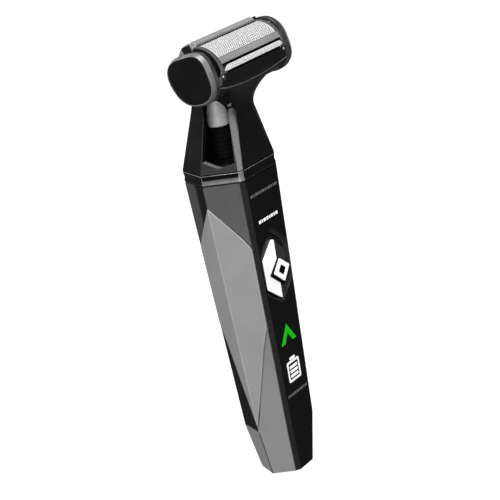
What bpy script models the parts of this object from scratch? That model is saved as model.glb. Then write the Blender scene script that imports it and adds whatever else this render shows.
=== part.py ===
"""Body groomer: six-sided handle, windowed neck and T-shaped foil head.

Sizes are in millimetres and become metres in each mesh. X runs along the head, -Y is the front
with the button, +Z runs up the handle, and the origin is the middle of the flat base.
"""
import math

import bmesh
import bpy
from mathutils import Vector

MM = 0.001
SIDES = ((-1, "left"), (1, "right"))

# Clearances
GAP = 0.3                   # between pieces that touch
SEAT = 0.1                  # between a piece and the seat it rests on
GROOVE = 0.5                # visible groove above and below the collar ring

# Handle: (height, keel half-width, face half-width, half-depth) of its six-sided sections
BASE = (0.0, 11.4, 5.8, 10.0)
KINK = (20.6, 14.9, 9.0, 12.1)
TOP = (130.0, 19.0, 12.2, 14.9)
SHELL_WALL = 1.6
PANEL_THICK = 1.5
PANEL_BEVEL = 1.8           # width of a panel's side bevel on the face
COLLAR_HIGH = 4.0
COLLAR_BORE = 4.8           # inset of the collar's opening
SEAL_SET_BACK = 0.8         # of the head seal, inside the upper groove
COLLAR_LIP = 4.0            # how far the collar reaches into the handle

# Side grips, as heights up the keel
GRIP_TOP = 120.7
GRIP_SHOULDER = 97.0
GRIP_WAIST = 72.0
GRIP_TIP = 23.6
GRIP_PROUD = 0.35
GRIP_DEEP = 0.6

# Base
CAP_THICK = 2.6
SEAL_THICK = 0.8
SEAL_WIDE = 1.4
CONTACT_RADIUS = 1.3
CONTACT_X = 5.0
CONTACT_LONG = 5.0

# Button and light
BUTTON_Z = 90.0
BUTTON_HALF_HIGH = 14.5
BUTTON_SHOULDER = 7.8
BUTTON_HALF_WIDE = 8.4
BUTTON_ROUND = 1.6
BUTTON_RECESS = 0.5
BUTTON_TRAVEL = 0.5
BUTTON_FLANGE = 0.7
FLANGE_THICK = 0.5
GASKET_WIDE = 1.0
CHEVRON_Z = 64.0
CHEVRON_HIGH = 7.0
CHEVRON_HALF = 4.4
CHEVRON_BAR = 2.6

# Inside the handle
BATTERY_RADIUS = 7.0
BATTERY_LONG = 48.0
BATTERY_Z = 9.5
TAB_THICK = 0.5
TAB_SIDE = 6.0
BOARD_THICK = 0.7
BOARD_HALF = 8.0
BOARD_Z = (52.0, 94.0)
SWITCH_SIDE = 4.5
LED_SIDE = 3.2
LED_THICK = 0.8
CHASSIS_THICK = 1.2
CHASSIS_Z = (26.0, 95.5)
CHASSIS_HALF = 9.0
RAIL_REACH = 4.0            # of the chassis rails, forward of the cell's axis
MOTOR_RADIUS = 10.2
MOTOR_FLAT = 7.4
MOTOR_Z = (96.8, 120.8)
BEARING_RADIUS = 3.0
BEARING_HIGH = 1.6
BULKHEAD_Z = 122.2
BULKHEAD_THICK = 2.0
SCREW_RADIUS = 0.9
SCREW_HEAD = 1.7
SCREW_HEAD_HIGH = 0.8
CHASSIS_SCREW_Z = (40.0, 84.0)
MOTOR_SCREW_X = 6.0

# Drive
DRIVE_Y = 1.0
SHAFT_RADIUS = 1.0
SHAFT_DEEP = 3.6            # length of the shaft inside the motor
CRANK_RADIUS = 3.2
CRANK_HIGH = 2.4
CRANK_THROW = 1.0
CRANK_PIN_RADIUS = 0.75
CRANK_PIN_LONG = 2.3
LEVER_PIVOT_Z = 152.0
LEVER_RADIUS = 1.6
LEVER_SWING = math.radians(4.0)
FORK_HIGH = 3.4
FORK_WALL = 1.2
PIVOT_RADIUS = 0.8
ARM_Z = (160.6, 163.2)
FINGER_Y = -8.4
FINGER_HALF = 1.1

# Neck: the waist section leans forward of the handle
WAIST_Z = 155.0
WAIST_KEEL = 13.1
WAIST_FACE = 8.4
WAIST_BEVEL = 3.8           # width of the face's bevel at the waist; at the foot it is the panel's
WAIST_FRONT = -12.6
WAIST_BACK = 8.8
NECK_WALL = 1.8
SPIGOT_WALL = 1.6
SPIGOT_Z = (128.6, 136.6)
HOUSING_RADIUS = 4.4
HOUSING_BORE = 3.0
HOUSING_Z = (149.4, 160.2)
BOOT_RADIUS = 4.0

# Head barrel: angles run from straight up towards the front
BARREL_Y = -11.5
BARREL_Z = 175.3
BARREL_RADIUS = 10.7
BARREL_WALL = 1.5
BARREL_HALF = 22.8
HEAD_HALF = 27.5
FASCIA_TOP = 92.0
FASCIA_END = 115.0          # lower edge of the fascia at the ends of the barrel
FASCIA_MIDDLE = 132.0       # and in its middle
FASCIA_THICK = 1.4
PIN_X = 20.6
PIN_ANGLE = 96.0
PIN_RADIUS = 0.7
CRADLE_BACK = 298.0
GUARD_HALF = 21.0
END_GROOVE = 0.8            # dark groove between the cassette and an end cap
RIM_WIDE = 0.8
RIM_STRAIGHT = 0.8
CAP_THICK_X = 3.0
CAP_RADIUS = 9.86
# Lobes that make the end cap a soft shield: (waves around, height, angle of the crest)
CAP_LOBES = ((1, 0.70, -142.0), (2, 0.28, -64.0), (3, 0.43, 37.0), (4, 0.38, 30.0))
FOIL_HALF = 19.6
FOIL_ANGLES = (3.0, 55.0)
BAND_ANGLES = (56.5, 69.5)
TRIMMER_ANGLES = (75.0, 86.5)
FRAME_ANGLES = (0.0, 90.0)
FOIL_THICK = 0.25
FRAME_THICK = 1.0
WINDOW_MARGIN = 2.0         # degrees of frame under each long edge of a foil
STROKE = 1.0
CUTTER_HALF = 17.2
CARRIER_RADIUS = 7.4
CARRIER_Z = 168.6
BLADE_COUNT = 20
TRIMMER_TEETH = 28

COLOURS = {
    "gunmetal": ((0.30, 0.31, 0.32), 0.32, 0.7),
    "grip grey": ((0.42, 0.42, 0.43), 0.42, 0.3),
    "gloss black": ((0.012, 0.012, 0.013), 0.12, 0.0),
    "satin black": ((0.02, 0.02, 0.022), 0.38, 0.0),
    "rubber": ((0.015, 0.015, 0.015), 0.75, 0.0),
    "boss grey": ((0.32, 0.32, 0.33), 0.3, 0.2),
    "rim grey": ((0.30, 0.30, 0.31), 0.22, 0.8),
    "steel": ((0.80, 0.80, 0.80), 0.2, 1.0),
    "brass": ((0.80, 0.60, 0.28), 0.3, 1.0),
    "board green": ((0.02, 0.16, 0.06), 0.5, 0.0),
    "signal green": ((0.01, 0.60, 0.01), 0.3, 0.0),
    "cell blue": ((0.05, 0.12, 0.32), 0.4, 0.0),
    "frame grey": ((0.28, 0.28, 0.29), 0.35, 0.3),
    "white nylon": ((0.75, 0.75, 0.72), 0.45, 0.0),
}


# ---------------------------------------------------------------- shared helpers

def clear_scene():
    for old in list(bpy.data.objects):
        bpy.data.objects.remove(old, do_unlink=True)


def material(finish):
    found = bpy.data.materials.get(finish)
    if found:
        return found
    colour, roughness, metallic = COLOURS[finish]
    made = bpy.data.materials.new(finish)
    made.use_nodes = True
    shader = made.node_tree.nodes["Principled BSDF"]
    shader.inputs["Base Color"].default_value = (*colour, 1.0)
    shader.inputs["Roughness"].default_value = roughness
    shader.inputs["Metallic"].default_value = metallic
    made.diffuse_color = (*colour, 1.0)
    return made


def finish_mesh(name, bm, finish, smooth=None):
    """Turn a bmesh into a named object, with its faces pointing out."""
    bmesh.ops.recalc_face_normals(bm, faces=bm.faces)
    mesh = bpy.data.meshes.new(name)
    bm.to_mesh(mesh)
    bm.free()
    if smooth is not None:
        mesh.shade_smooth()
        mesh.set_sharp_from_angle(angle=math.radians(smooth))
    made = bpy.data.objects.new(name, mesh)
    bpy.context.scene.collection.objects.link(made)
    if finish:
        mesh.materials.append(material(finish))
    return made


def add_loop(bm, points):
    return [bm.verts.new(Vector(point) * MM) for point in points]


def bridge(bm, first, second):
    count = len(first)
    for i in range(count):
        j = (i + 1) % count
        bm.faces.new((first[i], first[j], second[j], second[i]))


def loft(name, loops, finish, smooth=None):
    """A solid through a row of equal loops, capped at both ends."""
    bm = bmesh.new()
    rings = [add_loop(bm, loop) for loop in loops]
    for first, second in zip(rings, rings[1:]):
        bridge(bm, first, second)
    bm.faces.new(list(reversed(rings[0])))
    bm.faces.new(rings[-1])
    return finish_mesh(name, bm, finish, smooth)


def sleeve(name, outer, inner, finish, smooth=None):
    """A tube between a row of outer loops and a row of inner loops, open at both ends."""
    bm = bmesh.new()
    around = [add_loop(bm, loop) for loop in outer]
    around += [add_loop(bm, loop) for loop in reversed(inner)]
    for first, second in zip(around, around[1:] + around[:1]):
        bridge(bm, first, second)
    return finish_mesh(name, bm, finish, smooth)


def place(axis, a, b, along):
    """A point of a flat outline (a, b) at a distance along an axis."""
    if axis == "X":
        return (along, a, b)
    if axis == "Y":
        return (a, along, b)
    return (a, b, along)


def prism(name, outline, axis, low, high, finish, smooth=None):
    """A flat outline pushed along an axis: (y, z) along X, (x, z) along Y, (x, y) along Z."""
    loops = [[place(axis, a, b, along) for a, b in outline] for along in (low, high)]
    return loft(name, loops, finish, smooth)


def circle(radius, centre=(0.0, 0.0), steps=24):
    turn = 2 * math.pi / steps
    return [(centre[0] + radius * math.cos(i * turn), centre[1] + radius * math.sin(i * turn))
            for i in range(steps)]


def rod(name, radius, axis, centre, low, high, finish, steps=24):
    return prism(name, circle(radius, centre, steps), axis, low, high, finish, 40)


def pipe(name, radius, bore, axis, centre, low, high, finish, steps=24):
    outer, inner = circle(radius, centre, steps), circle(bore, centre, steps)
    outer_loops = [[place(axis, a, b, along) for a, b in outer] for along in (low, high)]
    inner_loops = [[place(axis, a, b, along) for a, b in inner] for along in (low, high)]
    return sleeve(name, outer_loops, inner_loops, finish, 40)


def block(name, x, y, z, finish):
    corners = [(x[0], y[0]), (x[1], y[0]), (x[1], y[1]), (x[0], y[1])]
    return prism(name, corners, "Z", z[0], z[1], finish)


def combine(target, tool, operation):
    """Union or difference with a tool object, which stays as a hidden guide."""
    step = target.modifiers.new(operation.lower(), "BOOLEAN")
    step.operation = operation
    step.solver = "EXACT"
    step.object = tool
    tool.hide_render = True
    tool.display_type = "WIRE"
    return target


def cut(target, tool):
    return combine(target, tool, "DIFFERENCE")


def join(target, tool):
    return combine(target, tool, "UNION")


def swell(points, distance):
    """Outline offset outwards by a distance, with square corners."""
    around = [Vector(point) for point in points]
    area = sum(a.x * b.y - b.x * a.y for a, b in zip(around, around[1:] + around[:1]))
    turn = 1 if area > 0 else -1
    grown = []
    for before, here, after in zip(around[-1:] + around[:-1], around, around[1:] + around[:1]):
        first, second = (here - before).normalized(), (after - here).normalized()
        out_first = Vector((first.y, -first.x)) * turn
        out_second = Vector((second.y, -second.x)) * turn
        middle = (out_first + out_second).normalized()
        grown.append(tuple(here + middle * distance / middle.dot(out_first)))
    return grown


def rounded(points, radius, steps=5):
    """Outline of a polygon with its corners rounded by arcs of about the given size."""
    outline = []
    count = len(points)
    for i, corner in enumerate(points):
        here = Vector(corner)
        before = (Vector(points[i - 1]) - here)
        after = (Vector(points[(i + 1) % count]) - here)
        start = here + before.normalized() * min(radius, before.length * 0.45)
        end = here + after.normalized() * min(radius, after.length * 0.45)
        for step in range(steps + 1):
            t = step / steps
            outline.append(tuple(start * (1 - t) ** 2 + here * 2 * t * (1 - t) + end * t ** 2))
    return outline


# ---------------------------------------------------------------- handle sections

def blend(low, high, share):
    return tuple(a + (b - a) * share for a, b in zip(low, high))


def handle_size(z):
    """Keel half-width, face half-width and half-depth of the handle at a height."""
    low, high = (BASE, KINK) if z < KINK[0] else (KINK, TOP)
    share = (z - low[0]) / (high[0] - low[0])
    return blend(low, high, share)[1:]


def facet_x(size, y):
    """Half-width of a section on its sloping side facet, at a depth."""
    keel, face, depth = size
    return face + (keel - face) * (depth - abs(y)) / depth


def facet_slope(size):
    keel, face, depth = size
    return math.hypot(depth, keel - face) / depth


def hexagon(size, z, trim=0.0, inset=0.0):
    """Six-sided section cut back at front and rear by trim, then offset inwards by inset."""
    depth = size[2] - trim - inset
    side = inset * facet_slope(size)
    keel = size[0] - side
    face = facet_x(size, depth) - side
    return [(-face, -depth, z), (face, -depth, z), (keel, 0.0, z),
            (face, depth, z), (-face, depth, z), (-keel, 0.0, z)]


def bevelled(size, z, trim=0.0, inset=0.0):
    """The six-sided section with its four face corners bevelled like the panels."""
    right = []
    for x, y, _ in hexagon(size, z, trim, inset)[1:4:2]:
        away = math.copysign(1.0, y)
        keel = size[0] - inset * facet_slope(size)
        shift = (keel - x) * PANEL_THICK / abs(y)
        pair = [(x - PANEL_BEVEL, y), (x + shift, y - away * PANEL_THICK)]
        right += pair if away < 0 else [(keel, 0.0)] + pair[::-1]
    return [(x, y, z) for x, y in right] + [(-x, y, z) for x, y in reversed(right)]


def shell_loop(z, inset=0.0):
    return hexagon(handle_size(z), z, PANEL_THICK + GAP, inset)


def cavity_depth(z):
    """Half-depth of the space inside the handle."""
    return handle_size(z)[2] - PANEL_THICK - GAP - SHELL_WALL


def panel_loop(z, side):
    """Section of the front (side -1) or rear (side 1) panel, with a bevel down each edge."""
    size = handle_size(z)
    face, depth = size[1] - PANEL_BEVEL, size[2]
    back = depth - PANEL_THICK
    wide = facet_x(size, back)
    return [(-face, side * depth, z), (face, side * depth, z),
            (wide, side * back, z), (-wide, side * back, z)]


def heights(low, high):
    """Section heights of a handle piece, with the kink where it falls inside."""
    return [low, KINK[0], high] if low < KINK[0] < high else [low, high]


# ---------------------------------------------------------------- outlines on the front panel

def button_outline(grow=0.0):
    """Long hexagon with its points up and down; grow offsets its sides."""
    top, bottom = BUTTON_Z + BUTTON_HALF_HIGH, BUTTON_Z - BUTTON_HALF_HIGH
    shoulder, hip = BUTTON_Z + BUTTON_SHOULDER, BUTTON_Z - BUTTON_SHOULDER
    wide = BUTTON_HALF_WIDE
    points = [(0.0, top), (wide, shoulder), (wide, hip), (0.0, bottom), (-wide, hip), (-wide, shoulder)]
    return rounded(swell(points, grow), BUTTON_ROUND, 3)


def chevron_outline(grow=0.0):
    """Upward chevron, a bar bent at its top."""
    foot = CHEVRON_Z - CHEVRON_HIGH
    inner = CHEVRON_HALF * (1 - CHEVRON_BAR / CHEVRON_HIGH)
    points = [(0.0, CHEVRON_Z), (CHEVRON_HALF, foot), (inner, foot),
              (0.0, CHEVRON_Z - CHEVRON_BAR), (-inner, foot), (-CHEVRON_HALF, foot)]
    return swell(points, grow)


# ---------------------------------------------------------------- handle pieces

def make_handle_shell():
    zs = heights(0.0, TOP[0] - GROOVE)
    shell = sleeve("handle_shell", [shell_loop(z) for z in zs],
                   [shell_loop(z, SHELL_WALL) for z in zs], "gunmetal")
    depth = handle_size(BUTTON_Z)[2]
    cut(shell, prism("button_opening", button_outline(), "Y", -depth - 1, -depth / 2, None))
    cut(shell, prism("light_opening", chevron_outline(GAP), "Y", -depth - 1, -depth / 2, None))
    for side in (-1, 1):
        cut(shell, grip_solid(f"grip_pocket_{side}", side, GRIP_DEEP + GAP, GRIP_DEEP * 3, GAP, None))
    for i, z in enumerate(CHASSIS_SCREW_Z):
        cut(shell, rod(f"screw_hole_{i}", SCREW_RADIUS + GAP, "Y", (0.0, z), 4.0, 20.0, None, 16))
    return shell


def make_panel(name, side):
    zs = heights(0.0, TOP[0] - GROOVE)
    panel = loft(name, [panel_loop(z, side) for z in zs], "gloss black")
    if side < 0:
        depth = handle_size(BUTTON_Z)[2]
        cut(panel, prism("panel_button_opening", button_outline(), "Y", -depth - 1, -depth / 2, None))
        cut(panel, prism("panel_light_opening", chevron_outline(GAP), "Y", -depth - 1, -depth / 2, None))
        return panel
    for i, z in enumerate(CHASSIS_SCREW_Z):
        inner = handle_size(z)[2] - PANEL_THICK
        cut(panel, rod(f"head_pocket_{i}", SCREW_HEAD + GAP, "Y", (0.0, z),
                       inner - 1.0, inner + SCREW_HEAD_HIGH, None, 16))
    return panel


def grip_outline(grow=0.0):
    """Front half of a grip as (share of the half-depth, height), from its top to its tip."""
    rise = grow * 2.0
    points = [(0.0, GRIP_TOP + rise), (0.90, 101.5 + grow), (1.0, GRIP_SHOULDER + grow),
              (1.0, GRIP_WAIST - grow), (0.74 + grow * 0.07, 62.4 - grow),
              (0.44 + grow * 0.07, 44.7 - grow), (0.0, GRIP_TIP - rise)]
    return points


def grip_solid(name, side, deep, proud, grow, finish):
    """A strip folded over a keel: its two halves lie on the facets before and behind it."""
    outer, inner = [], []
    front = grip_outline(grow)
    whole = [(-s, z) for s, z in front] + [(s, z) for s, z in front[-2:0:-1]]
    reach = 3.0 if grow else 0.0
    for share, z in whole:
        size = handle_size(z)
        edge = size[2] - PANEL_THICK - GAP + reach
        y = max(-edge, min(edge, share * size[2] + math.copysign(reach, share) * (abs(share) >= 1)))
        slope = facet_slope(size)
        if abs(share) < 1e-6:
            outer.append((side * (size[0] + proud * slope), 0.0, z))
            inner.append((side * (size[0] - deep * slope), 0.0, z))
            continue
        lean = (size[0] - size[1]) / size[2]
        nx, ny = 1 / slope, math.copysign(lean / slope, y)
        x = facet_x(size, y)
        outer.append((side * (x + proud * nx), y + proud * ny, z))
        inner.append((side * (x - deep * nx), y - deep * ny, z))
    bm = bmesh.new()
    top, bottom = add_loop(bm, outer), add_loop(bm, inner)
    bridge(bm, top, bottom)
    half = len(front) - 1
    for ring in (top, bottom):
        bm.faces.new(ring[:half + 1])
        bm.faces.new([ring[half]] + ring[half + 1:] + [ring[0]])
    return finish_mesh(name, bm, finish)


def make_base():
    inner = SHELL_WALL + GAP
    base_cap = loft("base_cap", [shell_loop(0.0, inner), shell_loop(CAP_THICK, inner)], "satin black")
    seal_low = CAP_THICK + GAP
    seal_zs = (seal_low, seal_low + SEAL_THICK)
    sleeve("base_seal", [shell_loop(z, inner) for z in seal_zs],
           [shell_loop(z, inner + SEAL_WIDE) for z in seal_zs], "rubber")
    for side, word in SIDES:
        spot = (side * CONTACT_X, 0.0)
        cut(base_cap, rod(f"contact_hole_{word}", CONTACT_RADIUS + GAP, "Z", spot, -2.0, 8.0, None))
        rod(f"charge_contact_{word}", CONTACT_RADIUS, "Z", spot, SEAT, CONTACT_LONG, "brass")


def make_collar():
    """Ring between handle and head, with a lip that plugs into the handle."""
    low = TOP[0]
    high = low + COLLAR_HIGH
    size = TOP[1:]
    ring = sleeve("collar_ring", [bevelled(size, z) for z in (low, high)],
                  [bevelled(size, z, 0.0, COLLAR_BORE) for z in (low, high)], "gloss black")
    lip_out = SHELL_WALL + GAP
    lip_zs = (low - COLLAR_LIP, low + 1.0)
    lip = sleeve("collar_lip", [bevelled(size, z, PANEL_THICK + GAP, lip_out) for z in lip_zs],
                 [bevelled(size, z, 0.0, COLLAR_BORE) for z in lip_zs], None)
    join(ring, lip)
    seal_zs = (high + SEAT, high + GROOVE - SEAT)
    sleeve("head_seal", [bevelled(size, z, 0.0, SEAL_SET_BACK) for z in seal_zs],
           [bevelled(size, z, 0.0, SEAL_SET_BACK + SEAL_WIDE) for z in seal_zs], "rubber")


def make_inside():
    """Cell, board, switch, light, chassis and motor inside the handle."""
    cell_top = BATTERY_Z + BATTERY_LONG
    rod("battery_cell", BATTERY_RADIUS, "Z", (0, 0), BATTERY_Z, cell_top, "cell blue", 32)
    tab_low = BATTERY_Z - GAP - TAB_THICK
    tab_high = cell_top + GAP
    tab = (-TAB_SIDE / 2, TAB_SIDE / 2)
    block("battery_tab_bottom", tab, tab, (tab_low, tab_low + TAB_THICK), "steel")
    block("battery_tab_top", tab, tab, (tab_high, tab_high + TAB_THICK), "steel")

    board_back = -BATTERY_RADIUS - GAP
    board_front = board_back - BOARD_THICK
    block("circuit_board", (-BOARD_HALF, BOARD_HALF), (board_front, board_back), BOARD_Z, "board green")
    flange_back = flange_front() + FLANGE_THICK
    half = SWITCH_SIDE / 2
    block("power_switch", (-half, half), (flange_back + BUTTON_TRAVEL + SEAT, board_front - SEAT),
          (BUTTON_Z - half, BUTTON_Z + half), "satin black")
    lamp_z = CHEVRON_Z - CHEVRON_HIGH / 2
    half = LED_SIDE / 2
    block("status_led", (-half, half), (board_front - SEAT - LED_THICK, board_front - SEAT),
          (lamp_z - half, lamp_z + half), "white nylon")

    plate_y = (BATTERY_RADIUS + GAP, BATTERY_RADIUS + GAP + CHASSIS_THICK)
    chassis = block("chassis", (-CHASSIS_HALF, CHASSIS_HALF), plate_y, CHASSIS_Z, "satin black")
    rail_in = BATTERY_RADIUS + GAP
    rail_out = rail_in + CHASSIS_THICK
    for side in (-1, 1):
        rail_x = sorted((side * rail_in, side * rail_out))
        join(chassis, block(f"rail_{side}", rail_x, (-RAIL_REACH, plate_y[1] - 0.2), CHASSIS_Z, None))
    rib_low = tab_high + TAB_THICK + GAP
    shelf_low = CHASSIS_Z[1] - CHASSIS_THICK
    for i, z in enumerate((rib_low, shelf_low)):
        join(chassis, block(f"rib_{i}", (-CHASSIS_HALF + 0.1, CHASSIS_HALF - 0.1),
                            (-BATTERY_RADIUS + 0.2, plate_y[1] - 0.1), (z, z + CHASSIS_THICK), None))
    for i, z in enumerate(CHASSIS_SCREW_Z):
        cut(chassis, rod(f"chassis_hole_{i}", SCREW_RADIUS + GAP, "Y", (0, z), plate_y[0] - 1,
                         plate_y[1] + 1, None, 16))
        seat = handle_size(z)[2] - PANEL_THICK - GAP + SEAT / 2
        screw(f"chassis_screw_{i + 1}", "Y", (0, z), seat, plate_y[0] + SEAT)


def screw(name, axis, centre, seat, tip):
    """A round-headed screw: its head sits on seat and its shank reaches to tip."""
    head = seat + math.copysign(SCREW_HEAD_HIGH - GAP, seat - tip)
    neck = seat - math.copysign(0.01, seat - tip)
    profile = [(SCREW_RADIUS, tip), (SCREW_RADIUS, neck), (SCREW_HEAD, seat),
               (SCREW_HEAD, seat + (head - seat) * 0.5), (SCREW_HEAD * 0.7, head)]
    loops = [[place(axis, a, b, along) for a, b in circle(radius, centre, 12)]
             for radius, along in profile]
    return loft(name, loops, "steel", 40)


def make_motor():
    """Flat-sided can motor under a bulkhead that closes the handle."""
    outline = [(x, max(-MOTOR_FLAT, min(MOTOR_FLAT, y))) for x, y in circle(MOTOR_RADIUS, (0, 0), 32)]
    can = prism("motor", outline, "Z", MOTOR_Z[0], MOTOR_Z[1], "steel", 40)
    bearing_top = MOTOR_Z[1] + BEARING_HIGH
    join(can, rod("motor_bearing", BEARING_RADIUS, "Z", (0, DRIVE_Y), MOTOR_Z[1] - 1.0, bearing_top, None))
    cut(can, rod("motor_bore", SHAFT_RADIUS + GAP, "Z", (0, DRIVE_Y), MOTOR_Z[1] - 4.0,
                 bearing_top + 1, None, 16))
    size = TOP[1:]
    trim = PANEL_THICK + 3 * GAP
    inset = SHELL_WALL + 3 * GAP
    zs = (BULKHEAD_Z, BULKHEAD_Z + BULKHEAD_THICK)
    bulkhead = loft("top_bulkhead", [hexagon(size, z, trim, inset) for z in zs], "satin black")
    cut(bulkhead, rod("bulkhead_bore", BEARING_RADIUS + GAP, "Z", (0, DRIVE_Y), zs[0] - 1, zs[1] + 1, None))
    seal_zs = (zs[1] + SEAT, zs[1] + SEAT + SEAL_THICK)
    sleeve("bulkhead_seal", [hexagon(size, z, trim, inset) for z in seal_zs],
           [hexagon(size, z, trim, inset + SEAL_WIDE) for z in seal_zs], "rubber")
    for side, word in SIDES:
        spot = (side * MOTOR_SCREW_X, 0)
        cut(bulkhead, rod(f"motor_screw_hole_{word}", SCREW_RADIUS + GAP, "Z", spot, zs[0] - 1,
                          zs[1] + 1, None, 16))
        screw(f"motor_screw_{word}", "Z", spot, zs[1] + SEAT / 2, MOTOR_Z[1] + 2 * SEAT)


def crank_low():
    return BULKHEAD_Z + BULKHEAD_THICK + 0.5


def make_motor_shaft():
    low = crank_low()
    high = low + CRANK_HIGH
    shaft = rod("motor_shaft", SHAFT_RADIUS, "Z", (0, DRIVE_Y), MOTOR_Z[1] - SHAFT_DEEP, high - 0.8,
                "steel", 16)
    crank = rod("drive_crank", CRANK_RADIUS, "Z", (0, DRIVE_Y), low, high, "white nylon")
    pin_spot = (0, DRIVE_Y + CRANK_THROW)
    join(crank, rod("crank_pin", CRANK_PIN_RADIUS, "Z", pin_spot, high - 0.5,
                    high + CRANK_PIN_LONG, None, 16))
    cut(crank, rod("crank_bore", SHAFT_RADIUS + GAP, "Z", (0, DRIVE_Y), low - 1, high - 0.5, None, 16))
    return [shaft, crank]


def flange_front():
    """Where the button's flange rests behind the shell's front wall."""
    return -cavity_depth(BUTTON_Z - BUTTON_HALF_HIGH) + GAP


def make_button():
    face = -handle_size(BUTTON_Z)[2] + BUTTON_RECESS
    front = flange_front()
    cap = prism("power_button", button_outline(-GAP), "Y", face, front + FLANGE_THICK, "satin black")
    join(cap, prism("button_flange", button_outline(BUTTON_FLANGE), "Y", front,
                    front + FLANGE_THICK + 0.01, None))
    gasket_outer = button_outline(BUTTON_FLANGE + GAP + GASKET_WIDE)
    gasket_inner = button_outline(BUTTON_FLANGE + GAP)
    ys = (front + SEAT, front + SEAT + FLANGE_THICK)
    sleeve("button_gasket", [[place("Y", x, z, y) for x, z in gasket_outer] for y in ys],
           [[place("Y", x, z, y) for x, z in gasket_inner] for y in ys], "rubber")
    return cap


def make_light_guide():
    depth = handle_size(CHEVRON_Z - CHEVRON_HIGH)[2]
    back = -cavity_depth(CHEVRON_Z) + 0.4
    prism("light_guide", chevron_outline(), "Y", -depth + SEAT, back, "signal green")


# ---------------------------------------------------------------- head sections

def polar(angle, radius):
    """(y, z) of a point around the barrel's axis; angles run from straight up to the front."""
    turn = math.radians(angle)
    return (BARREL_Y - radius * math.sin(turn), BARREL_Z + radius * math.cos(turn))


def arc(radius, start, end, steps):
    return [polar(start + (end - start) * i / steps, radius) for i in range(steps + 1)]


def arc_slab(name, radii, angles, xs, finish, steps=12):
    """A curved plate around the barrel's axis."""
    outline = arc(radii[1], angles[0], angles[1], steps) + arc(radii[0], angles[1], angles[0], steps)
    return prism(name, outline, "X", xs[0], xs[1], finish, 30)


def parting_angle(x):
    """Lower edge of the fascia, which dips towards the middle of the barrel."""
    return FASCIA_MIDDLE + (FASCIA_END - FASCIA_MIDDLE) * (x / BARREL_HALF) ** 2


def stations(half, count=12):
    return [half * (2 * i / count - 1) for i in range(count + 1)]


def neck_size(z):
    """Keel, face, front y, back y, keel y and bevel of the neck between its foot and its waist."""
    foot = (TOP[1], TOP[2], -TOP[3], TOP[3], 0.0, PANEL_BEVEL)
    middle = (WAIST_FRONT + WAIST_BACK) / 2
    waist = (WAIST_KEEL, WAIST_FACE, WAIST_FRONT, WAIST_BACK, middle, WAIST_BEVEL)
    share = (z - neck_foot()) / (WAIST_Z - neck_foot())
    return blend(foot, waist, share)


def neck_foot():
    return TOP[0] + COLLAR_HIGH + GROOVE


def neck_corners(z, inset=0.0):
    """Ten corners of the neck: bevelled front face, keels and bevelled back."""
    keel, face, front, back, middle, bevel = neck_size(z)
    right = []
    for y in (front, back):
        away = math.copysign(1.0, y - middle)
        reach = abs(y - middle)
        side = inset * math.hypot(reach, keel - face) / reach
        shift = (keel - face) * PANEL_THICK / reach
        pair = [(face - bevel - inset * 0.3, y - away * inset),
                (face + shift - side, y - away * (PANEL_THICK + inset * 0.4))]
        right += pair if away < 0 else [(keel - side, middle)] + pair[::-1]
    return [(x, y, z) for x, y in right] + [(-x, y, z) for x, y in reversed(right)]


def ring_points(corners, counts):
    """The corners with each edge split into a number of steps."""
    points = []
    for i, count in enumerate(counts):
        a, b = Vector(corners[i]), Vector(corners[(i + 1) % len(corners)])
        points += [tuple(a + (b - a) * k / count) for k in range(count)]
    return points


NECK_STEPS = (2, 3, 3, 1, 6, 1, 3, 3, 2, 6)
# Where each corner of the neck meets the barrel: (x, angle around the barrel)
NECK_LANDINGS = ((9.5, 131.0), (14.5, 139.0), (19.0, 214.0), (13.0, 280.0), (10.0, 284.0))


def neck_landings(radius, pull, turn):
    """Corner points on the barrel, pulled towards the middle and turned towards the underside."""
    right = []
    for x, angle in NECK_LANDINGS:
        centre = 180.0 if angle < 200 else 240.0
        y, z = polar(angle + (centre - angle) * turn, radius)
        right.append((x * pull, y, z))
    return right + [(-x, y, z) for x, y, z in reversed(right)]


def bezier(points, t):
    a, b, c, d = (Vector(point) for point in points)
    return tuple(a * (1 - t) ** 3 + b * 3 * t * (1 - t) ** 2 + c * 3 * t * t * (1 - t) + d * t ** 3)


def neck_loops(levels=8):
    """Loops from the foot of the neck, through its waist, flaring onto the barrel."""
    foot = ring_points(neck_corners(neck_foot()), NECK_STEPS)
    waist = ring_points(neck_corners(WAIST_Z), NECK_STEPS)
    above = ring_points(neck_corners(WAIST_Z + 5.0), NECK_STEPS)
    landing = ring_points(neck_landings(BARREL_RADIUS, 1.0, 0.0), NECK_STEPS)
    approach = ring_points(neck_landings(BARREL_RADIUS + 0.4, 0.72, 0.3), NECK_STEPS)
    inside = ring_points(neck_landings(BARREL_RADIUS - 1.2, 1.0, 0.0), NECK_STEPS)
    loops = [foot, waist]
    for step in range(1, levels + 1):
        t = step / levels
        loops.append([bezier(line, t) for line in zip(waist, above, approach, landing)])
    loops.append(inside)
    return loops


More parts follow.
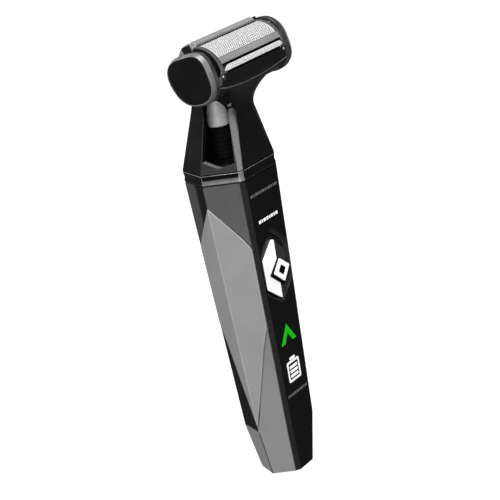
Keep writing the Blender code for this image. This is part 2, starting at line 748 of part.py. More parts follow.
def make_head_housing():
    """Neck and the cradle of the barrel in one moulding, hollow, with a window in each side."""
    housing = loft("head_housing", neck_loops(), "gloss black", 25)
    slices = []
    for x in stations(BARREL_HALF):
        rim = arc(BARREL_RADIUS, parting_angle(x), CRADLE_BACK, 20)
        slices.append([(x, y, z) for y, z in rim + [polar(CRADLE_BACK, 4.0), polar(parting_angle(x), 4.0)]])
    join(housing, loft("cradle_body", slices, None, 25))
    bore = BARREL_RADIUS - BARREL_WALL
    cut(housing, rod("barrel_bore", bore, "X", (BARREL_Y, BARREL_Z), -30, 30, None, 48))
    cavity = [neck_corners(z, NECK_WALL) for z in (neck_foot() - 1.0, WAIST_Z, ARM_Z[1] + 0.5)]
    cut(housing, loft("neck_cavity", cavity, None))
    foot_z = neck_foot()
    window = [(-1.7, foot_z + 5.3), (-7.0, foot_z + 1.9), (-12.7, foot_z + 3.3),
              (-11.25, WAIST_Z + 2.4), (-9.6, WAIST_Z + 3.8), (-5.0, WAIST_Z + 3.8), (-3.4, WAIST_Z + 2.4)]
    cut(housing, prism("neck_window", window, "X", -30, 30, None))
    slot_x = FINGER_HALF + STROKE + 3 * GAP
    cut(housing, block("finger_slot", (-slot_x, slot_x), (FINGER_Y - 2.2, FINGER_Y + 2.2),
                       (ARM_Z[0], BARREL_Z - 5.0), None))
    return housing


def make_spigot():
    """Six-sided plug under the neck that fits inside the collar."""
    size = TOP[1:]
    inset = COLLAR_BORE + GAP
    zs = (SPIGOT_Z[0], SPIGOT_Z[1])
    plug = loft("neck_spigot", [bevelled(size, z, 0.0, inset) for z in zs], "satin black")
    hollow = [bevelled(size, z, 0.0, inset + SPIGOT_WALL) for z in (zs[0] - 1, zs[1] - SPIGOT_WALL)]
    cut(plug, loft("spigot_hollow", hollow, None))
    cut(plug, rod("spigot_bore", HOUSING_BORE, "Z", (0, DRIVE_Y), zs[0], zs[1] + 1, None))
    return plug


def make_drive_column():
    boot_low = SPIGOT_Z[1] + GAP
    boot = pipe("shaft_boot", BOOT_RADIUS, HOUSING_BORE, "Z", (0, DRIVE_Y), boot_low,
                HOUSING_Z[0] - GAP, "rubber", 32)
    housing = pipe("shaft_housing", HOUSING_RADIUS, HOUSING_BORE, "Z", (0, DRIVE_Y), HOUSING_Z[0],
                   HOUSING_Z[1], "boss grey", 32)
    cut(housing, rod("pivot_seat", PIVOT_RADIUS + 0.1, "Y", (0, LEVER_PIVOT_Z), -8, 8, None, 16))
    pin = rod("lever_pin", PIVOT_RADIUS, "Y", (0, LEVER_PIVOT_Z), DRIVE_Y - HOUSING_RADIUS + 0.4,
              DRIVE_Y + HOUSING_RADIUS - 0.4, "steel", 16)
    return [boot, housing, pin]


def make_lever():
    """Rocker from the crank up to the cutters: a fork below, an arm and a finger above."""
    fork_low = crank_low() + CRANK_HIGH + 0.4
    slot = CRANK_PIN_RADIUS + CRANK_THROW + (LEVER_PIVOT_Z - fork_low) * math.sin(LEVER_SWING) + 0.2
    wide = slot + FORK_WALL
    fork = block("drive_lever", (-wide, wide), (DRIVE_Y - 3.4, DRIVE_Y + 3.4),
                 (fork_low, fork_low + FORK_HIGH), "white nylon")
    cut(fork, block("fork_slot", (-slot, slot), (DRIVE_Y - 2.4, DRIVE_Y + 2.4),
                    (fork_low - 1, fork_low + FORK_HIGH - 1.0), None))
    join(fork, rod("lever_stem", LEVER_RADIUS, "Z", (0, DRIVE_Y), fork_low + FORK_HIGH - 0.5,
                   ARM_Z[1] - 0.3, None, 16))
    join(fork, rod("lever_eye", 2.1, "Y", (0, LEVER_PIVOT_Z), DRIVE_Y - 1.9, DRIVE_Y + 1.9, None, 20))
    join(fork, block("lever_arm", (-1.3, 1.3), (FINGER_Y - 0.9, DRIVE_Y + 1.2), ARM_Z, None))
    join(fork, block("lever_finger", (-FINGER_HALF, FINGER_HALF), (FINGER_Y - 1.0, FINGER_Y + 1.0),
                     (ARM_Z[0] + 0.2, CARRIER_Z + 2.6), None))
    cut(fork, rod("lever_bore", PIVOT_RADIUS + GAP, "Y", (0, LEVER_PIVOT_Z), -8, 8, None, 16))
    return fork


def make_carrier():
    """Bar that holds both cutters, with a slot for the lever's finger."""
    outline = [(BARREL_Y + 5.4, CARRIER_Z), (BARREL_Y + 6.4, CARRIER_Z + 5.0)]
    outline += arc(CARRIER_RADIUS, -10.0, 92.0, 12)
    outline += [(BARREL_Y - 2.0, CARRIER_Z)]
    carrier = prism("cutter_carrier", outline, "X", -CUTTER_HALF, CUTTER_HALF, "white nylon", 30)
    slot = FINGER_HALF + GAP
    cut(carrier, block("carrier_slot", (-slot, slot), (FINGER_Y - 1.4, FINGER_Y + 1.4),
                       (CARRIER_Z - 1, CARRIER_Z + 3.2), None))
    return carrier


def comb(name, root, tip, angles, half, count, finish, steps):
    """A row of thin arched blades on one curved spine."""
    spine = root + 0.7
    pitch = 2 * half / (2 * count - 1)
    across = [(-half, root)]
    for i in range(count):
        start = -half + 2 * i * pitch
        across += [(start, spine), (start, tip), (start + pitch, tip), (start + pitch, spine)]
    across += [(half, root)]
    across = across[:1] + across[2:-2] + across[-1:]
    loops = []
    for i in range(steps + 1):
        angle = angles[0] + (angles[1] - angles[0]) * i / steps
        loops.append([(x, *polar(angle, radius)) for x, radius in across])
    return loft(name, loops, finish)


def make_cutters():
    root = CARRIER_RADIUS + GAP
    frame_inner = frame_radii()[0]
    main = comb("main_cutter", root, BARREL_RADIUS - FOIL_THICK - 0.35, (12.5, 50.5), CUTTER_HALF,
                BLADE_COUNT, "steel", 6)
    trimmer = comb("trimmer_cutter", root, frame_inner - GAP, (77.0, 84.5), CUTTER_HALF,
                   TRIMMER_TEETH, "steel", 1)
    return [main, trimmer]


def frame_radii():
    outer = BARREL_RADIUS - FOIL_THICK - 0.15
    return (outer - FRAME_THICK, outer)


def make_foil_frame():
    """Grey cassette frame: two end arches and the bars that the foils lie on."""
    inner, outer = frame_radii()
    end = BARREL_HALF + GAP - END_GROOVE
    frame = arc_slab("foil_frame", (inner, outer), FRAME_ANGLES, (-end + 0.1, end - 0.1), "frame grey", 18)
    for side in (-1, 1):
        xs = sorted((side * (FOIL_HALF + GAP), side * end))
        join(frame, arc_slab(f"end_arch_{side}", (inner - 0.4, BARREL_RADIUS), FRAME_ANGLES, xs, None, 18))
    half = CUTTER_HALF + STROKE + GAP
    for name, angles in (("main", FOIL_ANGLES), ("trimmer", TRIMMER_ANGLES)):
        opening = (angles[0] + WINDOW_MARGIN, angles[1] - WINDOW_MARGIN)
        cut(frame, arc_slab(f"{name}_window", (inner - 2, outer + 2), opening, (-half, half), None, 12))
    return frame


def make_foils():
    radii = (BARREL_RADIUS - FOIL_THICK, BARREL_RADIUS)
    xs = (-FOIL_HALF, FOIL_HALF)
    main = arc_slab("main_foil", radii, FOIL_ANGLES, xs, "steel", 14)
    band = arc_slab("foil_band", (radii[0], radii[1] + 0.1), BAND_ANGLES, xs, "rim grey", 6)
    trimmer = arc_slab("trimmer_foil", radii, TRIMMER_ANGLES, xs, "steel", 6)
    return [main, band, trimmer]


def make_fascia():
    """Dark plate along the front of the barrel, with a bright pin near each end."""
    inner = BARREL_RADIUS - FASCIA_THICK
    slices = []
    for x in stations(BARREL_HALF):
        low = parting_angle(x) - 1.8
        outline = arc(BARREL_RADIUS, FASCIA_TOP, low, 8) + arc(inner, low, FASCIA_TOP, 8)
        slices.append([(x, y, z) for y, z in outline])
    fascia = loft("front_fascia", slices, "satin black", 25)
    pins = []
    spot = polar(PIN_ANGLE, BARREL_RADIUS)
    for side, word in SIDES:
        centre = (side * PIN_X, spot[1])
        cut(fascia, rod(f"pin_hole_{word}", PIN_RADIUS + GAP, "Y", centre, spot[0] - 2, spot[0] + 4,
                        None, 16))
        pins.append(rod(f"fascia_pin_{word}", PIN_RADIUS, "Y", centre, spot[0] - GAP, spot[0] + 1.6,
                        "steel", 16))
    return [fascia] + pins


def make_guard():
    """Raised plate behind the foils."""
    outer = [(-60.5, 10.7), (-46.0, 12.0), (-30.0, 12.6), (-14.0, 12.7), (-6.0, 12.3), (-3.0, 11.6)]
    outline = [polar(angle, radius) for angle, radius in outer]
    outline += arc(BARREL_RADIUS - FASCIA_THICK, -3.0, -60.5, 8)
    return prism("rear_guard", outline, "X", -GUARD_HALF, GUARD_HALF, "frame grey", 30)


def cap_outline(x, grow=0.0, steps=60):
    points = []
    for i in range(steps):
        angle = 360.0 * i / steps
        radius = CAP_RADIUS + grow
        radius += sum(high * math.cos(math.radians(waves * (angle - crest)))
                      for waves, high, crest in CAP_LOBES)
        points.append((x, *polar(angle, radius)))
    return points


def make_end(name, side):
    """Black end cap in a grey bevelled rim."""
    root = side * (BARREL_HALF + GAP)
    shoulder = root + side * RIM_STRAIGHT
    edge = side * (HEAD_HALF - 0.3)
    rim = sleeve(f"{name}_cap_rim", [cap_outline(root, RIM_WIDE), cap_outline(shoulder, RIM_WIDE),
                                     cap_outline(edge, 0.1)],
                 [cap_outline(x, -0.2) for x in (root, shoulder, edge)], "rim grey", 30)
    faces = (side * (HEAD_HALF - CAP_THICK_X), side * (HEAD_HALF - 0.3), side * HEAD_HALF)
    fit = -0.2 - GAP
    cap = loft(f"{name}_end_cap", [cap_outline(faces[0], fit), cap_outline(faces[1], fit),
                                   cap_outline(faces[2], fit - 0.3)], "satin black", 30)
    return [cap, rim]


# ---------------------------------------------------------------- assembly

def carry(name, axis_point, pieces, parent=None):
    """Put moving pieces under an empty that stands on their joint's axis."""
    pivot = bpy.data.objects.new(name, None)
    bpy.context.scene.collection.objects.link(pivot)
    pivot.location = Vector(axis_point) * MM
    if parent:
        pivot.parent = parent
        pivot.location -= parent.location
    bpy.context.view_layer.update()
    for piece in pieces:
        piece.parent = pivot
        piece.matrix_parent_inverse = pivot.matrix_world.inverted()
    return pivot


def main():
    clear_scene()
    make_handle_shell()
    make_panel("front_panel", -1)
    make_panel("rear_panel", 1)
    grip_solid("left_grip", -1, GRIP_DEEP, GRIP_PROUD, 0.0, "grip grey")
    grip_solid("right_grip", 1, GRIP_DEEP, GRIP_PROUD, 0.0, "grip grey")
    make_base()
    make_collar()
    make_inside()
    make_motor()
    make_light_guide()
    carry("button_axis", (0.0, -handle_size(BUTTON_Z)[2], BUTTON_Z), [make_button()])
    carry("motor_axis", (0.0, DRIVE_Y, MOTOR_Z[1]), make_motor_shaft())

    fixed = [make_head_housing(), make_spigot(), make_guard()]
    fixed += make_drive_column() + make_fascia() + make_end("left", -1) + make_end("right", 1)
    head = carry("head_axis", (0.0, 0.0, neck_foot()), fixed)
    carry("lever_axis", (0.0, DRIVE_Y, LEVER_PIVOT_Z), [make_lever()], head)
    carry("cutter_axis", (0.0, BARREL_Y, BARREL_Z), [make_carrier()] + make_cutters(), head)
    carry("cassette_axis", (0.0, BARREL_Y, BARREL_Z), [make_foil_frame()] + make_foils(), head)


main()
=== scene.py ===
"""Body groomer: a six-sided handle, a windowed neck and a T-shaped foil head, in a soft studio.

Sizes are in millimetres and become metres in each mesh. X runs along the head, -Y is the front
with the button, and +Z runs up the handle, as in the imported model.
"""
import math

import bmesh
import bpy
from mathutils import Matrix, Vector


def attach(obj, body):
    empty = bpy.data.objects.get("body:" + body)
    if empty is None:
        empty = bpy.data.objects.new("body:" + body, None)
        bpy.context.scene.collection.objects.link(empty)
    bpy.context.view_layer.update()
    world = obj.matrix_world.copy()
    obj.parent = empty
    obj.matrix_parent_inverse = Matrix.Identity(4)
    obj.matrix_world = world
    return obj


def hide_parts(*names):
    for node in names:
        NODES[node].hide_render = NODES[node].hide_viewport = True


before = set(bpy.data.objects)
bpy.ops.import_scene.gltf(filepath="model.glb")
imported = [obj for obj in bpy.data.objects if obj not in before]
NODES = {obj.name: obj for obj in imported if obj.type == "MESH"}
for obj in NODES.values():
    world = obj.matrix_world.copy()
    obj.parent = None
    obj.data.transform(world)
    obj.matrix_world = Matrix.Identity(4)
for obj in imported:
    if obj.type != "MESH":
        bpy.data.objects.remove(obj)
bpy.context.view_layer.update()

MM = 0.001
SIDES = ((-1, "left"), (1, "right"))
GAP = 0.3

# Handle sections: (height, keel half-width, face half-width, half-depth)
BASE = (0.0, 11.4, 5.8, 10.0)
KINK = (20.6, 14.9, 9.0, 12.1)
TOP = (130.0, 19.0, 12.2, 14.9)
KINK_SOFT = 0.35
SHELL_WALL = 1.6
PANEL_THICK = 1.2
PANEL_BEVEL = 1.35
COLLAR_HIGH = 4.0
COLLAR_BORE = 4.8
GROOVE = 0.5

BUTTON_Z = 90.0
BUTTON_HALF_HIGH = 14.5
BUTTON_SHOULDER = 7.8
BUTTON_HALF_WIDE = 8.4
KEY_PROUD = 0.35
KEY_REACH = 8.0
KEY_LEANS = (0.55, 1.15)                       # how far the left and right slopes fall over the reach
KEY_TILT = 0.033
CHEVRON_Z = 64.8
CHEVRON_HIGH = 8.2
CHEVRON_HALF = 5.4
CHEVRON_BAR = 4.0

DRIVE_Y = 1.0
WAIST_Z = 155.0
WAIST = (13.1, 8.4, -12.6, 8.8, -1.9, 3.1)     # keel, face, front, back, middle, bevel
NECK_WALL = 1.8
KNOB = (-8.5, -12.6, 160.2)
KNOB_FACING = (-0.55, -0.75, -0.1)
HOUSING_RADIUS = 4.4
HOUSING_BORE = 3.0
HOUSING_Z = (149.4, 160.2)
BOOT_RADIUS = 4.0

BARREL_Y = -11.5
BARREL_Z = 175.3
BARREL_RADIUS = 10.7
BARREL_HALF = 22.8
HEAD_HALF = 27.5
FASCIA_TOP = 92.0
FASCIA_END = 115.0
FASCIA_MIDDLE = 132.0
CRADLE_BACK = 298.0
CAP_RADIUS = 9.86
# Lobes that make the end cap a soft shield: (waves around, height, angle of the crest)
CAP_LOBES = ((1, 0.70, -142.0), (2, 0.28, -64.0), (3, 0.43, 37.0), (4, 0.38, 30.0))
FOIL_HALF = 19.4
FOIL_ANGLES = (2.5, 55.0)
FOIL_PITCH = 1.2
FOIL_HOLE = 0.34
COMB_TEETH = 24
COMB_PITCH = 1.6
TRIMMER_ANGLES = (75.2, 86.4)
GUARD_HALF = 21.0
CAP_CREASES = (0, 16, 29, 44, 60, 74, 85)      # outline points where two facets of the face meet
CAP_INSET = -0.5
RIGHT_CROWN = 1.9
PIN_X = 20.6
PIN_ANGLE = 96.0
BOOT_FOOT = 136.9
BOOT_WAVES = 7
BOOT_RIPPLE = 0.28
PRINT_LIFTS = (-0.035, 0.3)
ROUGH_SPREAD = 0.06

# Camera: (azimuth, elevation, roll) in degrees, then its place from a point on the handle's axis
CAMERA_ANGLES = (-51.59, 18.07, -11.12)
CAMERA_AIM_Z = 85.0
CAMERA_RIGHT, CAMERA_UP, CAMERA_BACK = -0.42, 10.57, 637.16
CAMERA_LENS = 112.23


# ---- mesh helpers

def build(name, points, faces):
    mesh = bpy.data.meshes.new(name)
    mesh.from_pydata([Vector(p) * MM for p in points], [], faces)
    bm = bmesh.new()
    bm.from_mesh(mesh)
    bmesh.ops.recalc_face_normals(bm, faces=bm.faces)
    bm.to_mesh(mesh)
    bm.free()
    piece = bpy.data.objects.new(name, mesh)
    bpy.context.scene.collection.objects.link(piece)
    return piece


def loft(name, loops, caps=True, ring=False):
    """A skin through a row of equal loops; ring joins the last loop to the first."""
    count = len(loops[0])
    points = [p for loop in loops for p in loop]
    faces = []
    pairs = list(range(len(loops) - 1)) + ([len(loops) - 1] if ring else [])
    for k in pairs:
        a, b = k * count, ((k + 1) % len(loops)) * count
        faces += [(a + i, a + (i + 1) % count, b + (i + 1) % count, b + i) for i in range(count)]
    if caps and not ring:
        faces.append(tuple(range(count - 1, -1, -1)))
        last = (len(loops) - 1) * count
        faces.append(tuple(range(last, last + count)))
    return build(name, points, faces)


def sleeve(name, outer, inner):
    return loft(name, outer + list(reversed(inner)), ring=True)


def place(axis, a, b, along):
    if axis == "X":
        return (along, a, b)
    if axis == "Y":
        return (a, along, b)
    return (a, b, along)


def prism(name, outline, axis, low, high):
    return loft(name, [[place(axis, a, b, t) for a, b in outline] for t in (low, high)])


def circle(radius, centre=(0.0, 0.0), steps=48):
    turn = 2 * math.pi / steps
    return [(centre[0] + radius * math.cos(i * turn), centre[1] + radius * math.sin(i * turn))
            for i in range(steps)]


def lathe(name, profile, axis, centre, steps=64, ring=False):
    """A turned piece from a profile of (radius, position along the axis)."""
    loops = [[place(axis, a, b, t) for a, b in circle(r, centre, steps)] for r, t in profile]
    return loft(name, loops, ring=ring)


def settle(piece):
    """Replace the mesh with its finished form, modifiers applied."""
    graph = bpy.context.evaluated_depsgraph_get()
    mesh = bpy.data.meshes.new_from_object(piece.evaluated_get(graph))
    piece.modifiers.clear()
    piece.data = mesh
    return piece


def combine(piece, tool, operation):
    step = piece.modifiers.new("cut", "BOOLEAN")
    step.operation = operation
    step.solver = "EXACT"
    step.object = tool
    settle(piece)
    bpy.data.objects.remove(tool, do_unlink=True)
    return piece


def cut(piece, tool):
    return combine(piece, tool, "DIFFERENCE")


def join(piece, tool):
    return combine(piece, tool, "UNION")


def clean(piece, angle=0.2):
    """Merge coincident points and dissolve the flat edges that a cut leaves."""
    bm = bmesh.new()
    bm.from_mesh(piece.data)
    bmesh.ops.remove_doubles(bm, verts=bm.verts, dist=0.004 * MM)
    bmesh.ops.dissolve_limit(bm, angle_limit=math.radians(angle), verts=bm.verts, edges=bm.edges)
    bm.to_mesh(piece.data)
    bm.free()
    return piece


def even_normals(piece):
    piece.data.shade_smooth()
    even = piece.modifiers.new("normals", "WEIGHTED_NORMAL")
    even.keep_sharp = True
    return piece


def bevel(piece, width, segments, angle):
    """Round the edges that are sharper than the angle."""
    edge = piece.modifiers.new("edge", "BEVEL")
    edge.width = width * MM
    edge.segments = segments
    edge.limit_method = "ANGLE"
    edge.angle_limit = math.radians(angle)
    return edge


def soften(piece, width, segments=3, angle=30.0, slot=-1):
    """Round the sharp edges and keep the flats flat; slot gives the rounding its own finish."""
    edge = bevel(piece, width, segments, angle)
    edge.miter_outer = "MITER_ARC"
    edge.material = slot
    return even_normals(piece)


def swell(points, distance):
    """Outline offset outwards by a distance."""
    around = [Vector(p) for p in points]
    area = sum(a.x * b.y - b.x * a.y for a, b in zip(around, around[1:] + around[:1]))
    turn = 1 if area > 0 else -1
    grown = []
    for before, here, after in zip(around[-1:] + around[:-1], around, around[1:] + around[:1]):
        first, second = (here - before).normalized(), (after - here).normalized()
        out_first = Vector((first.y, -first.x)) * turn
        out_second = Vector((second.y, -second.x)) * turn
        middle = (out_first + out_second).normalized()
        grown.append(tuple(here + middle * distance / middle.dot(out_first)))
    return grown


def rounded(points, radii, steps=6):
    """Outline of a polygon with its corners rounded; radii is one size or one for each corner."""
    if not isinstance(radii, (list, tuple)):
        radii = [radii] * len(points)
    outline = []
    count = len(points)
    for i, corner in enumerate(points):
        here = Vector(corner)
        if radii[i] <= 0:
            outline.append(tuple(here))
            continue
        before, after = Vector(points[i - 1]) - here, Vector(points[(i + 1) % count]) - here
        start = here + before.normalized() * min(radii[i], before.length * 0.48)
        end = here + after.normalized() * min(radii[i], after.length * 0.48)
        for step in range(steps + 1):
            t = step / steps
            outline.append(tuple(start * (1 - t) ** 2 + here * 2 * t * (1 - t) + end * t ** 2))
    return outline


# ---- materials

def add_node(tree, kind, inputs, **settings):
    """Add a shader node; each input gets a value, or the socket that feeds it."""
    node = tree.nodes.new(f"ShaderNode{kind}")
    for key, value in settings.items():
        setattr(node, key, value)
    for key, value in inputs.items():
        if isinstance(value, bpy.types.NodeSocket):
            tree.links.new(value, node.inputs[key])
        else:
            node.inputs[key].default_value = value
    return node


def object_place(tree):
    return add_node(tree, "TexCoord", {}).outputs["Object"]


def ramp(tree, value, start, end, low=0.0, high=1.0, kind="LINEAR"):
    """Carry a value from start..end onto low..high."""
    return add_node(tree, "MapRange", {"Value": value, "From Min": start, "From Max": end,
                                       "To Min": low, "To Max": high},
                    interpolation_type=kind).outputs["Result"]


def mix_colours(tree, share, first, second, kind="MIX"):
    return add_node(tree, "Mix", {"Factor": share, "A": first, "B": second}, data_type="RGBA",
                    blend_type=kind).outputs["Result"]


def shade(name, colour, rough, metallic=0.0, level=0.5, coat=0.0, tint_spread=0.12, tint_scale=0.08,
          grain_scale=4.0, grain=0.05, stretch=(1, 1, 1), flake=0.0, emission=None):
    """Procedural finish: slow tint drift, uneven gloss, a fine grain and optional metal flake."""
    made = bpy.data.materials.new(name)
    made.use_nodes = True
    tree = made.node_tree
    shader = tree.nodes["Principled BSDF"]
    for key, value in (("Metallic", metallic), ("Specular IOR Level", level), ("Coat Weight", coat),
                       ("Coat Roughness", 0.06)):
        shader.inputs[key].default_value = value
    where = object_place(tree)
    stretched = add_node(tree, "Mapping", {"Scale": stretch, "Vector": where}).outputs["Vector"]

    def noise(scale, detail):
        made_noise = add_node(tree, "TexNoise", {"Scale": scale / MM, "Detail": detail, "Vector": stretched})
        return made_noise.outputs["Fac"]

    def spread(value, low, high):
        return ramp(tree, value, 0.3, 0.7, low, high)

    tint = mix_colours(tree, spread(noise(tint_scale, 3.0), 0.0, 1.0),
                       (*[c * (1 - tint_spread) for c in colour], 1),
                       (*[min(1.0, c * (1 + tint_spread)) for c in colour], 1))
    if flake:
        cells = add_node(tree, "TexVoronoi", {"Scale": 9.0 / MM, "Vector": where})
        fleck = mix_colours(tree, flake, tint, cells.outputs["Color"], "OVERLAY")
        tint = add_node(tree, "HueSaturation", {"Saturation": 0.0, "Color": fleck}).outputs["Color"]
    tree.links.new(tint, shader.inputs["Base Color"])
    low, high = max(0.02, rough - ROUGH_SPREAD), min(1.0, rough + ROUGH_SPREAD)
    tree.links.new(spread(noise(tint_scale * 6, 5.0), low, high), shader.inputs["Roughness"])
    bump = add_node(tree, "Bump", {"Strength": grain, "Distance": 0.1 * MM,
                                   "Height": noise(grain_scale, 2.0)})
    tree.links.new(bump.outputs["Normal"], shader.inputs["Normal"])
    if emission:
        shader.inputs["Emission Color"].default_value = (*emission[0], 1)
        shader.inputs["Emission Strength"].default_value = emission[1]
    return made


def shade_casing():
    """Gunmetal with painted light and shade: lighter below the kink as a painted reflection, darker up the
    handle as painted shade, and the rear slopes above the kink painted black as a dark reflection with a
    painted highlight streak high on their outer part.
    """
    made = shade("gunmetal_with_painted_light", (0.52, 0.52, 0.525), 0.36, 0.45, flake=0.15, grain_scale=2.0, grain=0.04,
                 tint_spread=0.05, coat=0.1)
    tree = made.node_tree
    base = tree.nodes["Principled BSDF"].inputs["Base Color"]
    split = add_node(tree, "SeparateXYZ", {"Vector": object_place(tree)}).outputs

    def along(axis, start, end, low=0.0, high=1.0):
        return ramp(tree, split[axis], start * MM, end * MM, low, high, "SMOOTHSTEP")

    def times(first, second):
        return add_node(tree, "Math", {0: first, 1: second}, operation="MULTIPLY").outputs["Value"]

    # Below the kink the casing is mixed to a light grey: a painted reflection. A thin dark line runs along
    # the keel there.
    foot = along("Z", 20.4, 20.9, 1.0, 0.0)
    keel = add_node(tree, "Math", {0: split["Y"]}, operation="ABSOLUTE").outputs["Value"]
    keel_line = ramp(tree, keel, 0.18 * MM, 0.34 * MM, 0.85, 0.0)
    # Above the kink the rear slopes are painted black as a dark reflection, with a grey painted highlight
    # streak high on their outer part.
    rear = times(along("Y", 0.1, 0.5), along("Z", 20.9, 21.4))
    rear_highlight = times(along("Y", 5.0, 7.5, 0.0, 0.8), along("Z", 80.0, 110.0))
    colour = base.links[0].from_socket
    # In turn: painted reflection below the kink, painted shade up the handle, the keel line, the painted
    # black rear slopes and their painted highlight streak.
    for share, grey in ((foot, (0.68, 0.68, 0.69)), (along("Z", 25.0, 125.0, 0.0, 0.85), (0.11, 0.11, 0.112)),
                        (times(keel_line, foot), (0.01, 0.01, 0.01)), (rear, (0.003, 0.003, 0.003)),
                        (times(rear, rear_highlight), (0.19, 0.19, 0.195))):
        colour = mix_colours(tree, share, colour, (*grey, 1))
    tree.links.new(colour, base)
    return made


GUNMETAL = shade_casing()
# Lighter grey for the grips' rounded edges: a painted highlight along them.
GRIP_EDGE_HIGHLIGHT = shade("grip_edge_highlight", (0.62, 0.62, 0.625), 0.45, 0.0, level=0.4, grain_scale=3.0, grain=0.15,
                  tint_spread=0.05)
GRIP = shade("grip_rubber", (0.44, 0.44, 0.445), 0.52, 0.0, level=0.35, grain_scale=3.0, grain=0.22,
             tint_spread=0.05)
GLOSS = shade("gloss_black", (0.006, 0.006, 0.0065), 0.16, 0.0, level=0.22, grain_scale=0.5, grain=0.012,
              tint_spread=0.25)
# Dark grey a little lighter than the gloss black: on the panels' bevels, the button well's walls and the
# lower trim it is a painted reflection; the pin collars take it as their own colour.
PANEL_EDGE = shade("panel_edge", (0.030, 0.030, 0.031), 0.25, 0.1, level=0.35, grain_scale=0.6, grain=0.012,
                   tint_spread=0.2)
# Light grey on bevels and trims of the dark parts and on the window sills: painted highlight lines.
EDGE_HIGHLIGHT = shade("edge_highlight_grey", (0.48, 0.48, 0.485), 0.28, 0.5, grain_scale=2.0, grain=0.05, tint_spread=0.3,
             tint_scale=0.25)
NECK = shade("neck_black", (0.009, 0.009, 0.0095), 0.24, 0.0, level=0.22, grain_scale=0.6, grain=0.02,
             tint_spread=0.25)
SATIN = shade("satin_black", (0.012, 0.012, 0.012), 0.36, 0.0, level=0.25, grain_scale=5.0, grain=0.12,
              tint_spread=0.2)
DEEP = shade("deep_black", (0.003, 0.003, 0.003), 0.6, 0.0, level=0.1, grain_scale=3.0, grain=0.1)
RUBBER = shade("seal_rubber", (0.006, 0.006, 0.006), 0.75, 0.0, level=0.12, grain_scale=4.0, grain=0.3)
BOSS = shade("boss_grey", (0.96, 0.96, 0.97), 0.32, 0.05, grain_scale=2.0, grain=0.05)
RIM = shade("rim_grey", (0.12, 0.12, 0.122), 0.26, 0.5, grain_scale=2.5, grain=0.05, tint_spread=0.5,
            tint_scale=0.2)
# Lighter grey for the rim's front bevel: a painted highlight. The strip knob takes the same grey.
RIM_LIT = shade("rim_bevel_highlight", (0.32, 0.32, 0.325), 0.38, 0.35, grain_scale=2.5, grain=0.05, tint_spread=0.4,
                tint_scale=0.15)
FRAME = shade("frame_grey", (0.48, 0.48, 0.485), 0.34, 0.35, grain_scale=3.0, grain=0.06, flake=0.08)
ARCH = shade("arch_grey", (0.17, 0.17, 0.175), 0.30, 0.35, grain_scale=3.0, grain=0.06, tint_spread=0.3)
FOIL = shade("foil_steel", (0.98, 0.98, 0.98), 0.30, 0.3, grain_scale=2.0, grain=0.05,
             stretch=(0.08, 1, 1), tint_spread=0.02)
# Trimmer steel with a faint white glow: painted light.
TRIMMER = shade("trimmer_steel_glow", (0.98, 0.98, 0.98), 0.34, 0.1, grain_scale=2.0, grain=0.05, tint_spread=0.02,
                emission=((1.0, 1.0, 1.0), 0.10))
STEEL = shade("bright_steel", (0.78, 0.78, 0.79), 0.22, 1.0, grain_scale=3.0, grain=0.05,
              stretch=(0.1, 1, 1), tint_spread=0.08)
# White silver with a glow: the glow is painted light. On the key's left slope the silver is a painted
# reflection; on the diamond block it is the block's white with a painted glow.
GLOWING_SILVER = shade("silver_with_painted_glow", (0.92, 0.92, 0.92), 0.30, 0.15, grain_scale=3.0, grain=0.04,
               tint_spread=0.03, emission=((1.0, 1.0, 1.0), 0.6))
# Dark grey for the key's right slope: painted shade on the same silver key.
KEY_SHADE = shade("key_slope_shade", (0.08, 0.08, 0.082), 0.25, 0.4, grain_scale=3.0, grain=0.04)
BRASS = shade("contact_gold", (0.85, 0.62, 0.26), 0.22, 1.0, grain_scale=4.0, grain=0.05)
GREEN = shade("green_lens", (0.004, 0.36, 0.003), 0.20, 0.0, coat=0.4, grain_scale=1.5, grain=0.04,
              tint_spread=0.3, tint_scale=0.3, emission=((0.0, 1.0, 0.0), 0.30))
# White print with a white glow: the print is real, the glow is painted light.
PRINT = shade("white_print_glow", (0.90, 0.90, 0.90), 0.45, 0.0, grain_scale=6.0, grain=0.05, tint_spread=0.03,
              emission=((1.0, 1.0, 1.0), 0.6))
FAINT = shade("grey_print", (0.26, 0.26, 0.26), 0.5, 0.0, grain_scale=6.0, grain=0.05, tint_spread=0.08)
NYLON = shade("white_nylon", (0.72, 0.72, 0.69), 0.45, 0.0, grain_scale=2.0, grain=0.08)
CELL = shade("cell_sleeve", (0.04, 0.10, 0.30), 0.32, 0.0, coat=0.3, grain_scale=1.0, grain=0.05)
BOARD = shade("board_mask", (0.015, 0.14, 0.05), 0.4, 0.0, coat=0.2, grain_scale=1.5, grain=0.15,
              tint_scale=0.5, tint_spread=0.4)


def shade_strip_reflection():
    """Painted reflection of the key light on the neck's left front edge: a grey strip that darkens towards
    the front and ends in a slanted tip.
    """
    made = shade("neck_strip_reflection", (0.38, 0.38, 0.385), 0.28, 0.3, grain_scale=1.5, grain=0.04, tint_spread=0.08)
    tree = made.node_tree
    base = tree.nodes["Principled BSDF"].inputs["Base Color"]
    where = object_place(tree)
    colour = base.links[0].from_socket
    for reach, start, end, dark in (((1, 0, 0), -7.4, -6.0, 0.11), ((1.5, 0, 1), 148.0, 149.2, 0.01)):
        along = add_node(tree, "VectorMath", {0: where, 1: reach}, operation="DOT_PRODUCT").outputs["Value"]
        colour = mix_colours(tree, ramp(tree, along, start * MM, end * MM), colour, (dark, dark, dark, 1))
    tree.links.new(colour, base)
    return made


STRIP_REFLECTION = shade_strip_reflection()


def paint(piece, *finishes):
    piece.data.materials.clear()
    for finish in finishes:
        piece.data.materials.append(finish)
    return piece


def pick(piece, slot, test):
    """Give the faces that pass the test another finish; the test sees centre (mm) and normal."""
    for polygon in piece.data.polygons:
        if test(polygon.center / MM, polygon.normal):
            polygon.material_index = slot


